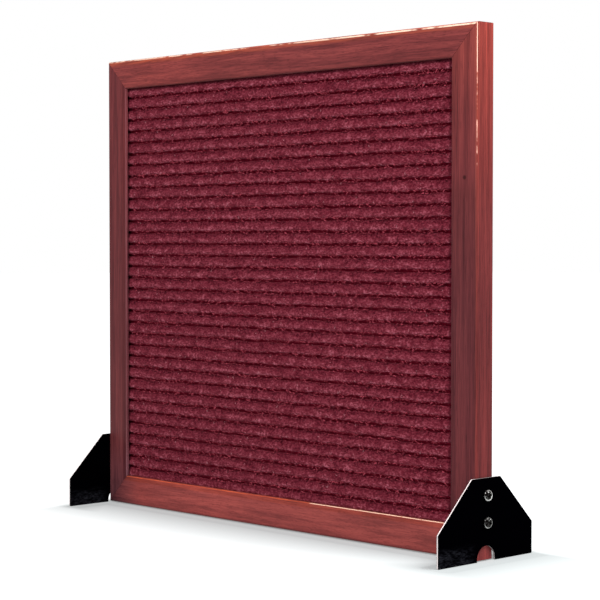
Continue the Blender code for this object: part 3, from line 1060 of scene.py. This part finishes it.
@dataclass
class LetterPanel:
    """The felt face with its slots, the core board under it and the backer behind.

    The waves along a slot are each given as their length, their step from slot to slot, their
    layer and their size, and those over the rows as their length, their height, layer and size.
    The least and most of each length, radius and bow of the fuzz are in millimetres. A tuft has
    one pair of them for the lip above a slot's middle and one for the lip below.
    """

    middle: float = 127.5 * MM
    width: float = 256.6 * MM
    height: float = 230.6 * MM
    pitch: float = 6.4 * MM
    slots: int = 36
    slot_half: float = 0.45 * MM
    slot_depth: float = 3.2 * MM
    lap: float = 0.8 * MM
    edge_radius: float = 1.3 * MM
    thickness: float = 0.7 * MM
    crest: float = -4.1 * MM
    margin: float = 6.0 * MM
    wander: Waves = ((13 * MM, 5.3, 0.0, 0.42 * MM), (2.9 * MM, 3.1, 7.0, 0.42 * MM))
    opening: Waves = ((5.2 * MM, 7.7, 3.0, 0.30 * MM), (2.3 * MM, 9.1, 5.0, 0.30 * MM))
    closing: float = 0.36 * MM
    least: float = 0.02 * MM
    most: float = 0.1 * MM
    lip_reach: float = 1.7 * MM
    lip_squeeze: float = 0.12
    edge_squeeze: float = 0.3
    fullness: Waves = ((3.4 * MM, 2.2 * MM, 1.0, 0.30 * MM), (1.7 * MM, 1.3 * MM, 2.0, 0.20 * MM))
    swell: float = 0.05 * MM
    fill: float = 0.6
    columns: int = 200
    seed: int = 11
    root_gap: float = 0.25 * MM
    fibres: int = 9500
    fibre_clear: float = 8 * MM
    fibre_length: Span = (0.9, 2.9)
    fibre_radius: Span = (0.055, 0.11)
    fibre_lift: Span = (0.12, 0.4)
    fibre_turn: float = 0.7
    fibre_wobble: float = 0.5
    tufts: int = 12500
    tuft_clear: float = 9 * MM
    tuft_length: Span = (0.6, 2.1)
    tuft_radius: Span = (0.08, 0.30)
    tuft_bow: Span = (0.08, 0.3)
    tufts_above: float = 0.65
    tuft_roots: tuple[Span, Span] = ((-0.1, 0.4), (-0.3, 0.1))
    tuft_drops: tuple[Span, Span] = ((0.1, 1.0), (-0.5, 0.0))
    lint: int = 260
    lint_strands: int = 4
    lint_length: Span = (0.5, 1.1)
    lint_radius: Span = (0.06, 0.10)

    def level(self, slot: float) -> float:
        """How high a slot lies above the panel's middle."""
        return (slot - (self.slots - 1) / 2) * self.pitch

    def row_line(self, inset: float) -> list[Span]:
        """One line down the felt, from its lower edge to its upper edge.

        Args:
            inset: How far the line lies behind the felt's outer face.

        Returns:
            Its points as (depth, height above the panel's middle).
        """
        radius = self.edge_radius - inset
        floor = self.crest + self.slot_depth + inset
        reach = self.slot_half + self.edge_radius
        tilt = math.degrees(math.atan2(self.lap, self.pitch - 2 * reach))
        lip = self.crest + self.edge_radius
        points = [(self.crest + inset + self.lap, -self.height / 2)]
        for number in range(self.slots):
            centre = self.level(number)
            start = 180 if number == 0 else 180 - tilt
            end = 180 if number == self.slots - 1 else 180 - tilt
            upper = self.curve((lip + self.lap, centre - reach), radius, start, 90)
            points += self.between(points[-1], upper[0])
            points += upper
            points.append((floor, centre - self.slot_half - inset))
            points.append((floor, centre + self.slot_half + inset))
            points += self.curve((lip, centre + reach), radius, 270, end)
        points.append((self.crest + inset, self.height / 2))
        return points

    def between(self, first: Span, last: Span) -> list[Span]:
        """Two points that divide the face of a row into three."""
        (y, up), (to_y, to_up) = first, last
        return [(y + (to_y - y) * share, up + (to_up - up) * share) for share in (1 / 3, 2 / 3)]

    def curve(self, hub: Span, radius: float, start: float, end: float) -> list[Span]:
        """Four points round one lip of a slot, from one angle to another in degrees."""
        turns = [math.radians(start + (end - start) * i / 3) for i in range(4)]
        return [(hub[0] + radius * math.cos(t), hub[1] + radius * math.sin(t)) for t in turns]

    def ripple(self, x: float, slot: int, waves: Waves) -> float:
        """Waves along one slot, summed."""
        given = ((x / long, slot * step, layer, size) for long, step, layer, size in waves)
        return sum(noise.noise(place) * size for *place, size in given)

    def shaped(self, x: float, y: float, up: float) -> Vector:
        """Where a point of the ideal felt face lies on the real one.

        Args:
            x: Its place across the panel.
            y: Its depth.
            up: Its height above the panel's middle.

        Returns:
            The point, moved by the wander of the slots and the fullness of the rows.
        """
        slot = round(up / self.pitch + (self.slots - 1) / 2)
        slot = min(max(slot, 0), self.slots - 1)
        off = up - self.level(slot)
        side = min(self.width / 2 - abs(x), self.height / 2 - abs(up)) / self.margin
        free = min(max(side, 0.0), 1.0)
        near = math.exp(-((off / self.lip_reach) ** 2))
        wander = self.ripple(x, slot, self.wander)
        open_by = self.ripple(x, slot, self.opening) - self.closing
        open_by = min(max(open_by, self.least - self.slot_half), self.most)
        up += free * near * (wander + math.copysign(open_by, off))
        base = self.crest if off > 0 else self.crest + self.lap
        squeeze = self.lip_squeeze if off > 0 else self.edge_squeeze
        sunk = max(y - base, 0.0)
        share = min(sunk / self.slot_depth, 1.0)
        risen = off / self.pitch if off > 0 else 1 + off / self.pitch
        y -= free * (1 - share) * (sunk * (1 - squeeze) + self.lap * self.fill * risen)
        row = 1 - math.exp(-((off / MM) ** 2))
        full = sum(
            noise.noise((x / long, up / high, layer)) * size
            for long, high, layer, size in self.fullness
        )
        return Vector((x, y - free * row * (full + self.swell), self.middle + up))

    def felt(self) -> bpy.types.Object:
        """Makes the felt: a fine front, a plain back and closed edges.

        Returns:
            The piece.
        """
        half = self.width / 2
        across = [half * (2 * i / self.columns - 1) for i in range(self.columns + 1)]
        bm = bmesh.new()
        add = bm.verts.new
        front = [[add(self.shaped(x, y, up)) for x in across] for y, up in self.row_line(0.0)]
        inner = self.row_line(self.thickness)
        back = [[add((x, y, self.middle + up)) for x in (-half, half)] for y, up in inner]
        for low, high, low_back, high_back in zip(front, front[1:], back, back[1:]):
            for i in range(self.columns):
                bm.faces.new((low[i], low[i + 1], high[i + 1], high[i]))
            bm.faces.new((low_back[1], low_back[0], high_back[0], high_back[1]))
            bm.faces.new((low_back[0], low[0], high[0], high_back[0]))
            bm.faces.new((low[-1], low_back[1], high_back[1], high[-1]))
        bm.faces.new((*back[0], *front[0][::-1]))
        bm.faces.new((*back[-1][::-1], *front[-1]))
        sunk = bm.verts.layers.float.new("sunk")
        painted_row_light = bm.verts.layers.float.new("painted_row_light")
        mouth = self.crest + self.lap
        for vert in bm.verts:
            share = (vert.co.y - mouth) / (self.slot_depth * 0.6)
            vert[sunk] = min(max(share, 0.0), 1.0)
            # Painted light and shade on each row: pale at its lower lip over a slot, dark at its
            # top under the lip above.
            row = (vert.co.z - self.middle) / self.pitch + (self.slots - 1) / 2
            vert[painted_row_light] = 1.0 - row % 1.0
        piece = new_piece("felt_face_pile", bm, BurgundyFelt().material())
        piece.data.shade_smooth()
        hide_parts("felt_face")
        return piece

    def strand(
        self, bm: bmesh.types.BMesh, path: Sequence[Vector], radius: float, tone: float
    ) -> None:
        """Adds a three-sided fibre that comes to a point at both ends.

        Args:
            bm: The mesh that it joins.
            path: Its points, ends included.
            radius: Its radius in the middle.
            tone: How pale it is, from 0 to 1.
        """
        layer = bm.verts.layers.float.get("tone") or bm.verts.layers.float.new("tone")
        turns = (0.0, 2 * math.pi / 3, 4 * math.pi / 3)
        rings = []
        for before, point, after in zip(path, path[1:], path[2:]):
            run = (after - before).normalized()
            side = run.orthogonal().normalized() * radius
            other = run.cross(side)
            ring = [point + side * math.cos(turn) + other * math.sin(turn) for turn in turns]
            rings.append([bm.verts.new(corner) for corner in ring])
        first = bm.verts.new(path[0])
        last = bm.verts.new(path[-1])
        for vert in (first, last, *(vert for ring in rings for vert in ring)):
            vert[layer] = tone
        for i in range(3):
            j = (i + 1) % 3
            bm.faces.new((first, rings[0][j], rings[0][i]))
            bm.faces.new((last, rings[-1][i], rings[-1][j]))
            for ring, following in zip(rings, rings[1:]):
                bm.faces.new((ring[i], ring[j], following[j], following[i]))

    def across(self, chance: random.Random, clear: float) -> float:
        """A place across the panel, clear of the stiles."""
        return chance.uniform(-self.width / 2 + clear, self.width / 2 - clear)

    def spot(self, chance: random.Random) -> Vector:
        """A place on the face of a row, with the tilt of the row taken into account.

        Args:
            chance: The run of random numbers.

        Returns:
            The place.
        """
        x = self.across(chance, self.fibre_clear)
        row = chance.randrange(1, self.slots - 2)
        share = chance.random()
        room = self.pitch - 2 * self.slot_half - 2 * self.root_gap
        off = self.slot_half + self.root_gap + share * room
        radius = self.edge_radius
        rounding = max(0.0, 1 - off / radius) ** 2 * radius
        far = max(0.0, 1 - (self.pitch - off) / radius) ** 2 * radius
        y = self.crest + self.lap * share + rounding + far
        return self.shaped(x, y, self.level(row) + off)

    def fibre_path(self, chance: random.Random, start: Vector, length: float) -> list[Vector]:
        """A bowed and wandering line that starts and ends at the felt.

        Args:
            chance: The run of random numbers.
            start: Its first point.
            length: Its length.

        Returns:
            Its five points.
        """
        heading = chance.gauss(0.0, self.fibre_turn)
        lift = chance.uniform(*self.fibre_lift) * MM
        points = [start.copy()]
        for _ in range(4):
            heading += chance.gauss(0.0, self.fibre_wobble)
            step = length / 4
            run = Vector((math.cos(heading) * step, 0.0, math.sin(heading) * step))
            points.append(points[-1] + run)
        for i, point in enumerate(points):
            point.y -= lift * math.sin(math.pi * i / 4)
        return points

    def tuft_path(self, chance: random.Random) -> list[Vector]:
        """A short tuft on one lip of a slot, which leans over the slot and along it.

        Args:
            chance: The run of random numbers.

        Returns:
            Its four points.
        """
        x = self.across(chance, self.tuft_clear)
        centre = self.level(chance.randrange(1, self.slots - 1))
        above = chance.random() < self.tufts_above
        roots, drops = (pair[0 if above else 1] for pair in (self.tuft_roots, self.tuft_drops))
        lip = self.slot_half if above else -self.slot_half
        rooted = lip + chance.uniform(*roots) * MM
        depth = self.crest if above else self.crest + 0.5 * MM
        start = self.shaped(x, depth, centre + rooted)
        length = chance.uniform(*self.tuft_length) * MM
        side = chance.choice((-1.0, 1.0))
        drop = chance.uniform(*drops)
        bow = chance.uniform(*self.tuft_bow) * MM
        runs = [(length * i / 3, bow * math.sin(math.pi * i / 3)) for i in range(4)]
        return [start + Vector((side * run, -out, -drop * run)) for run, out in runs]

    def fuzz(self) -> list[bpy.types.Object]:
        """Makes the fibres, tufts and lint that stand off the felt.

        Returns:
            The three pieces.
        """
        chance = random.Random(self.seed)
        hairs = bmesh.new()
        for _ in range(self.fibres):
            length = chance.uniform(*self.fibre_length) * MM
            path = self.fibre_path(chance, self.spot(chance), length)
            self.strand(hairs, path, chance.uniform(*self.fibre_radius) * MM, chance.random())
        clumps = bmesh.new()
        for _ in range(self.tufts):
            path = self.tuft_path(chance)
            self.strand(clumps, path, chance.uniform(*self.tuft_radius) * MM, chance.random())
        specks = bmesh.new()
        for _ in range(self.lint):
            centre = self.spot(chance)
            for _ in range(self.lint_strands):
                length = chance.uniform(*self.lint_length) * MM
                path = self.fibre_path(chance, centre, length)
                radius = chance.uniform(*self.lint_radius) * MM
                self.strand(specks, path, radius, chance.random())
        kinds = (
            ("felt_fibres", hairs, (0.055, 0.004, 0.009), (0.28, 0.050, 0.075)),
            ("felt_tufts", clumps, (0.10, 0.006, 0.013), (0.42, 0.060, 0.090)),
            ("felt_lint", specks, (0.38, 0.12, 0.15), (0.64, 0.30, 0.34)),
        )
        pieces = []
        for name, bm, dark, light in kinds:
            finish = LooseFibre("burgundy_" + name, dark, light)
            pieces.append(new_piece(name, bm, finish.material()))
        return pieces

    def build(self) -> None:
        """Makes the felt and its fuzz, and dresses the two boards behind it."""
        felt = self.felt()
        fuzz = self.fuzz()
        for piece in (felt, *fuzz):
            report(piece)
        core = PressedFibre(
            name="fibreboard_core",
            dark=(0.13, 0.075, 0.038),
            light=(0.27, 0.17, 0.095),
            patch=3 * MM,
            speck=0.4 * MM,
            rough=0.8,
        )
        dress("grooved_core_board", core.material())
        backer = PressedFibre(
            name="hardboard_backer",
            dark=(0.070, 0.028, 0.012),
            light=(0.200, 0.086, 0.038),
            patch=26 * MM,
            speck=1.4 * MM,
            rough=0.40,
            scratches=0.35,
        )
        dress("backer_board", backer.material())


class ByHand:
    """Edit-mode work on one new mesh, with everything else deselected."""

    def __init__(self, name: str) -> None:
        """Clears the selection, ready for a primitive."""
        bpy.ops.object.select_all(action="DESELECT")
        self.name = name

    def begin(self) -> bpy.types.Object:
        """Takes the primitive that was just added, and enters edit mode on it.

        Returns:
            Its object.
        """
        bpy.ops.object.transform_apply(location=True, rotation=True, scale=True)
        made = bpy.context.object
        made.name = self.name
        made.data.name = self.name
        bpy.ops.object.mode_set(mode="EDIT")
        return made

    def ring(self, centre: Place, shift: float, scale: float) -> None:
        """Extrudes the selected ring along X and resizes it round its new centre."""
        bpy.ops.mesh.extrude_region_move(TRANSFORM_OT_translate={"value": (shift, 0.0, 0.0)})
        bpy.ops.transform.resize(value=(1.0, scale, scale), center_override=centre)

    def pick(self, made: bpy.types.Object, wanted: Callable[[bmesh.types.BMFace], bool]) -> None:
        """Selects the faces that pass a test, and nothing else.

        Args:
            made: The object in edit mode.
            wanted: The test.
        """
        bpy.ops.mesh.select_all(action="DESELECT")
        bm = bmesh.from_edit_mesh(made.data)
        for face in bm.faces:
            face.select_set(wanted(face))
        bm.select_flush_mode()
        bmesh.update_edit_mesh(made.data)

    def end(self) -> None:
        """Closes doubles, turns the faces outwards and leaves edit mode."""
        bpy.ops.mesh.select_all(action="SELECT")
        bpy.ops.mesh.remove_doubles(threshold=0.002 * MM)
        bpy.ops.mesh.normals_make_consistent(inside=False)
        bpy.ops.object.mode_set(mode="OBJECT")


def apply_modifier(piece: bpy.types.Object, kind: str, **settings: object) -> None:
    """Gives a piece a modifier and applies it.

    Args:
        piece: The piece.
        kind: The modifier's type.
        **settings: Its properties.
    """
    modifier = piece.modifiers.new(kind.lower(), kind)
    for name, value in settings.items():
        setattr(modifier, name, value)
    bpy.context.view_layer.objects.active = piece
    bpy.ops.object.modifier_apply(modifier=modifier.name)


@dataclass
class PanHeadScrew:
    """A plated pan-head screw with a cross recess, drawn along X on the board's right side."""

    axis_height: float
    dark_crown_reach: float
    under_head: float = 141.5 * MM
    head_radius: float = 2.8 * MM
    head_height: float = 1.9 * MM
    rim_height: float = 0.62 * MM
    rim_soft: float = 0.12 * MM
    crown_radius: float = 1.55 * MM
    shank_radius: float = 1.42 * MM
    tip_run: float = 2.8 * MM
    tip_radius: float = 0.12 * MM
    length: float = 9.3 * MM
    recess_reach: float = 1.72 * MM
    recess_half: float = 0.52 * MM
    recess_depth: float = 1.15 * MM
    recess_over: float = 0.6 * MM
    recess_taper: float = 0.45
    ease: float = 0.06 * MM
    bevel_angle: float = 40.0
    smooth_angle: float = 35.0
    ring_lean: float = 1.06
    ring_soft: float = 0.1
    round_steps: int = 40
    dome_steps: int = 7

    def hub(self, x: float) -> Place:
        """A point on the screw's axis."""
        return (x, 0.0, self.axis_height)

    def profile(self) -> list[Span]:
        """The screw's outline from its crown to its tip.

        Returns:
            Its points as (place along X, radius).
        """
        top = self.under_head + self.head_height
        spread = self.head_radius - self.crown_radius
        drop = self.head_height - self.rim_height
        points = []
        for i in range(self.dome_steps + 1):
            turn = math.pi / 2 * i / self.dome_steps
            x = top - drop * (1 - math.cos(turn))
            points.append((x, self.crown_radius + spread * math.sin(turn)))
        end = self.under_head - self.length
        return [
            *points,
            (self.under_head + self.rim_soft, self.head_radius),
            (self.under_head, self.head_radius - self.rim_soft),
            (self.under_head, self.shank_radius),
            (end + self.tip_run, self.shank_radius),
            (end, self.tip_radius),
        ]

    def blank(self) -> bpy.types.Object:
        """Draws the screw ring by ring, without its recess.

        Returns:
            Its object.
        """
        work = ByHand("screw_blank")
        outline = self.profile()
        place, radius = outline[0]
        bpy.ops.mesh.primitive_circle_add(
            vertices=self.round_steps,
            radius=radius,
            fill_type="TRIFAN",
            location=self.hub(place),
            rotation=(0.0, math.pi / 2, 0.0),
        )
        made = work.begin()
        bpy.ops.mesh.select_mode(type="EDGE")
        bpy.ops.mesh.select_all(action="DESELECT")
        bpy.ops.mesh.select_non_manifold()
        for (x, size), (next_x, next_size) in zip(outline, outline[1:]):
            work.ring(self.hub(next_x), next_x - x, next_size / size)
        bpy.ops.mesh.edge_face_add()
        work.end()
        return made

    def blade(self, turn: float) -> bpy.types.Object:
        """Draws one tapered blade of the cross that is cut into the head.

        Args:
            turn: The blade's angle round the screw's axis, in degrees.

        Returns:
            Its object.
        """
        work = ByHand("recess_blade")
        top = self.under_head + self.head_height
        centre = self.hub(top + (self.recess_over - self.recess_depth) / 2)
        deep = self.recess_depth + self.recess_over
        size = (deep, 2 * self.recess_half, 2 * self.recess_reach)
        bpy.ops.mesh.primitive_cube_add(size=1.0, location=centre, scale=size)
        made = work.begin()
        work.pick(made, lambda face: face.normal.x < -0.5)
        taper = (1.0, self.recess_taper, self.recess_taper)
        bpy.ops.transform.resize(value=taper, center_override=centre)
        bpy.ops.mesh.select_all(action="SELECT")
        angle = math.radians(turn)
        bpy.ops.transform.rotate(value=angle, orient_axis="X", center_override=centre)
        work.end()
        return made

    def make(
        self, name: str, turn: float, bright: bpy.types.Material, recess_shade: bpy.types.Material
    ) -> bpy.types.Object:
        """Makes the whole screw.

        Args:
            name: The piece's name.
            turn: How far the cross is turned, in degrees.
            bright: The plating.
            recess_shade: The painted shade down in the recess.

        Returns:
            The screw.
        """
        made = self.blank()
        made.name = name
        made.data.materials.append(bright)
        made.data.materials.append(recess_shade)
        for blade_turn in (turn, turn + 90):
            blade = self.blade(blade_turn)
            blade.data.materials.append(recess_shade)
            apply_modifier(
                made,
                "BOOLEAN",
                operation="DIFFERENCE",
                solver="EXACT",
                material_mode="TRANSFER",
                object=blade,
            )
            bpy.data.objects.remove(blade, do_unlink=True)
        steep = math.radians(self.bevel_angle)
        apply_modifier(
            made, "BEVEL", width=self.ease, segments=2, limit_method="ANGLE", angle_limit=steep
        )
        bpy.ops.object.select_all(action="DESELECT")
        made.select_set(True)
        bpy.context.view_layer.objects.active = made
        bpy.ops.object.shade_smooth_by_angle(angle=math.radians(self.smooth_angle))
        self.paint_crown_shade(made)
        return made

    def paint_crown_shade(self, made: bpy.types.Object) -> None:
        """Marks painted shade on the crown, all but a bright ring, which is broad on the side away
        from readers.

        Args:
            made: The screw.
        """
        painted_crown_shade = made.data.attributes.new("painted_crown_shade", "FLOAT", "POINT")
        lean = self.head_radius * (self.ring_lean - self.dark_crown_reach)
        flank = self.under_head + self.rim_height
        for vert, mark in zip(made.data.vertices, painted_crown_shade.data):
            off = math.hypot(vert.co.y + lean, vert.co.z - self.axis_height - lean / 2)
            share = (self.head_radius * self.dark_crown_reach - off) / (self.head_radius * self.ring_soft)
            share = share if vert.co.x > flank else 0.0
            mark.value = min(max(share, 0.0), 1.0)


@dataclass
class Fasteners:
    """The corner nails and panel points at the back, and the screws through the feet.

    A screw is given by its level, its height, the turn of its cross in degrees and how far the
    painted shade on its crown reaches.
    """

    kinds: tuple[tuple[str, float, float, float], ...] = (
        ("lower", 18.3811 * MM, 24.0, 0.90),
        ("upper", 31.363 * MM, -17.0, 0.85),
    )
    # Places of painted glints on the screws.
    glints: tuple[Place, ...] = (
        (143.1 * MM, -0.8 * MM, 33.0 * MM),
        (142.5 * MM, 1.2 * MM, 29.2 * MM),
        (143.2 * MM, 0.65 * MM, 19.9 * MM),
        (143.3 * MM, -1.0 * MM, 18.9 * MM),
    )

    def screws(self) -> None:
        """Makes a lower and an upper screw for the right foot, and copies them to the left."""
        bright = Plating(
            name="bright_screw_plating",
            bright=(0.90, 0.89, 0.86),
            dull=(0.74, 0.73, 0.70),
            gloss=(0.08, 0.20),
            patch=1.1 * MM,
            glints=self.glints,
        ).material("painted_crown_shade")
        # Painted shade: the recess is a near black metal.
        recess_shade = Plating(
            name="bright_screw_recess",
            bright=(0.010, 0.009, 0.008),
            dull=(0.035, 0.031, 0.029),
            gloss=(0.35, 0.6),
            patch=0.8 * MM,
            glints=self.glints,
        ).material()
        for level, height, turn, dark_crown_reach in self.kinds:
            drawn = PanHeadScrew(height, dark_crown_reach).make(f"{level}_screw", turn, bright, recess_shade)
            for side, half_turn in (("right", 0.0), ("left", math.pi)):
                piece = drawn.copy()
                piece.data = drawn.data.copy()
                piece.data.transform(Matrix.Rotation(half_turn, 4, "Z"))
                piece.name = f"{side}_{level}_screw_plated"
                bpy.context.scene.collection.objects.link(piece)
                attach(piece, BODY)
                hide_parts(f"{side}_foot_{level}_screw")
                report(piece)
            bpy.data.objects.remove(drawn, do_unlink=True)

    def build(self) -> None:
        """Makes the screws and dresses the steel at the back."""
        zinc = Plating(
            name="zinc_steel_dull",
            bright=(0.46, 0.47, 0.48),
            dull=(0.22, 0.23, 0.25),
            gloss=(0.34, 0.55),
            patch=2.2 * MM,
        ).material()
        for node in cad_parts:
            if node.startswith(("corner_nail", "panel_point")):
                dress(node, zinc)
        self.screws()


@dataclass
class SteelFeet:
    """The two plates that the board stands on."""

    nodes: tuple[str, str] = ("left_foot", "right_foot")

    def build(self) -> None:
        """Dresses both plates."""
        enamel = BlackEnamel().material()
        for node in self.nodes:
            dress(node, enamel)


# Studio


@dataclass
class Studio:
    """The camera, the floor, the lamps and the light all round.

    A lamp is given by its name, its place, the length of its side and its strength in watts.
    The lift is how much the floor glows, by its distance from the object as a share of
    white_from. That distance counts more behind the object, ahead of each foot and to the left.
    """

    camera_place: Place = (0.7067, -0.6642, 0.1523)
    camera_yaw: float = 0.8065
    camera_pitch: float = 0.0328
    lens: float = 110.51
    sensor: float = 36.0
    clip_end: float = 100.0
    floor_span: float = 12.0
    floor_tone: Colour = (0.645, 0.700, 0.705)
    seen_share: float = 0.55
    white_from: float = 85 * MM
    lift: tuple[Span, ...] = ((0.0, 0.27), (0.095, 0.235), (0.12, 0.30), (1.0, 1.0))
    behind: float = 8.0
    ahead: Span = (5.0, 2.3)
    leftward: float = 6.0
    sky: float = 0.45
    board_half: Span = (141 * MM, 6 * MM)
    foot_half: Span = (1 * MM, 34 * MM)
    aim: Place = (0.0, 0.0, 0.13)
    lamps: tuple[tuple[str, Place, float, float], ...] = (
        ("overhead_softbox", (0.40, 0.05, 0.50), 0.25, 2.8),
        ("front_softbox", (0.20, -0.75, 0.85), 0.5, 7.4),
    )

    def camera(self) -> None:
        """Puts the camera at the photograph's viewpoint."""
        data = bpy.data.cameras.new("viewpoint")
        data.lens = self.lens
        data.sensor_width = self.sensor
        data.clip_end = self.clip_end
        made = bpy.data.objects.new("viewpoint", data)
        made.location = self.camera_place
        made.rotation_euler = (math.pi / 2 - self.camera_pitch, 0.0, self.camera_yaw)
        bpy.context.scene.collection.objects.link(made)
        bpy.context.scene.camera = made

    def seen(self, sheet: NodeSheet) -> Socket:
        """Whether a ray shows the surroundings: to the camera, in metal or through glass.

        Args:
            sheet: The nodes of what it shows.

        Returns:
            1 if it does and 0 if not.
        """
        path = sheet.add("LightPath").outputs
        shown = sheet.sums("ADD", path["Is Camera Ray"], path["Is Glossy Ray"], clamp=True)
        return sheet.sums("ADD", shown, path["Is Transmission Ray"], clamp=True)

    def away(
        self, sheet: NodeSheet, across: Socket, deep: Socket, half: Span, ahead: object
    ) -> Socket:
        """How far a point of the floor lies from something that stands on it.

        Args:
            sheet: The floor's nodes.
            across: The point's distance from the thing's middle, along X.
            deep: The point's place along Y.
            half: Half the thing's width and depth.
            ahead: How much longer the distance counts in front of it, a socket or a number.

        Returns:
            The distance from its outline, 0 within it, and longer behind it.
        """
        more = sheet.sums("SUBTRACT", self.behind, ahead)
        rear = sheet.sums("GREATER_THAN", deep, 0.0)
        stretch = sheet.sums("MULTIPLY_ADD", rear, more, ahead)
        squares = []
        for distance, reach in zip((across, sheet.sums("ABSOLUTE", deep)), half):
            beyond = sheet.sums("MAXIMUM", sheet.sums("SUBTRACT", distance, reach), 0.0)
            squares.append(sheet.times(beyond, beyond))
        squares[1] = sheet.times(squares[1], sheet.times(stretch, stretch))
        return sheet.sums("SQRT", sheet.sums("ADD", *squares))

    def lifted(self, sheet: NodeSheet) -> Socket:
        """How much the floor glows, which keeps only the object's near shadow.

        Args:
            sheet: The floor's nodes.

        Returns:
            The glow's strength.
        """
        split = sheet.parts(sheet.read("Object"))
        leftward = sheet.sums("LESS_THAN", split["X"], -self.board_half[0])
        across = sheet.sums("ABSOLUTE", split["X"])
        beyond = sheet.times(sheet.sums("SUBTRACT", across, self.board_half[0]), self.leftward)
        across = sheet.sums("MULTIPLY_ADD", beyond, leftward, across)
        beside = sheet.sums("ABSOLUTE", sheet.sums("SUBTRACT", across, self.board_half[0]))
        board = self.away(sheet, across, split["Y"], self.board_half, 1.0)
        left, right = self.ahead
        rightward = sheet.sums("GREATER_THAN", split["X"], 0.0)
        ahead = sheet.sums("MULTIPLY_ADD", rightward, right - left, left)
        foot = self.away(sheet, beside, split["Y"], self.foot_half, ahead)
        away = sheet.sums("DIVIDE", sheet.sums("MINIMUM", board, foot), self.white_from)
        return sheet.ramp(away, [(at, dimmed(WHITE, tone)) for at, tone in self.lift])

    def floor(self) -> None:
        """Lays the pale floor, which keeps the board's shadow."""
        bpy.ops.object.select_all(action="DESELECT")
        bpy.ops.mesh.primitive_plane_add(size=self.floor_span)
        made = bpy.context.object
        made.name = "studio_floor"
        material = bpy.data.materials.new("studio_floor_paint")
        material.use_nodes = True
        sheet = NodeSheet(material.node_tree)
        sheet.tree.nodes.clear()
        seen = self.seen(sheet)
        shown = dimmed(self.floor_tone, self.seen_share)
        paint = sheet.add("BsdfDiffuse", sheet.blend(seen, self.floor_tone, shown))
        strength = sheet.times(seen, self.lifted(sheet))
        glow = sheet.put(sheet.add("Emission"), Strength=strength)
        both = sheet.add("AddShader", paint.outputs[0], glow[0])
        sheet.add("OutputMaterial", both.outputs[0])
        made.data.materials.append(material)

    def lamp(self, name: str, place: Place, size: float, power: float) -> None:
        """Hangs a square lamp that points at the board's middle.

        Args:
            name: The lamp's name.
            place: Where it hangs.
            size: The length of its side.
            power: Its strength in watts.
        """
        data = bpy.data.lights.new(name, "AREA")
        data.shape = "SQUARE"
        data.size = size
        data.energy = power
        made = bpy.data.objects.new(name, data)
        made.location = place
        made.visible_camera = False
        toward = Vector(self.aim) - Vector(place)
        made.rotation_euler = toward.to_track_quat("-Z", "Y").to_euler()
        bpy.context.scene.collection.objects.link(made)

    def surroundings(self) -> None:
        """Sets the even light all round, and the white that the camera sees behind the board."""
        world = bpy.data.worlds.new("studio_surroundings")
        bpy.context.scene.world = world
        world.use_nodes = True
        sheet = NodeSheet(world.node_tree)
        strength = sheet.spread(self.seen(sheet), 0.0, 1.0, self.sky, 1.0)
        sheet.put(world.node_tree.nodes["Background"], Color=WHITE, Strength=strength)

    def build(self) -> None:
        """Sets up the whole studio."""
        bpy.context.scene.view_settings.view_transform = "Standard"
        self.camera()
        self.floor()
        for lamp in self.lamps:
            self.lamp(*lamp)
        self.surroundings()


def main() -> None:
    """Builds the studio and the board, and reports each piece."""
    logging.basicConfig(level=logging.INFO, format="%(name)s %(message)s")
    for assembly in (Studio, MitredFrame, LetterPanel, Fasteners, SteelFeet):
        assembly().build()


if __name__ == "__main__":
    main()
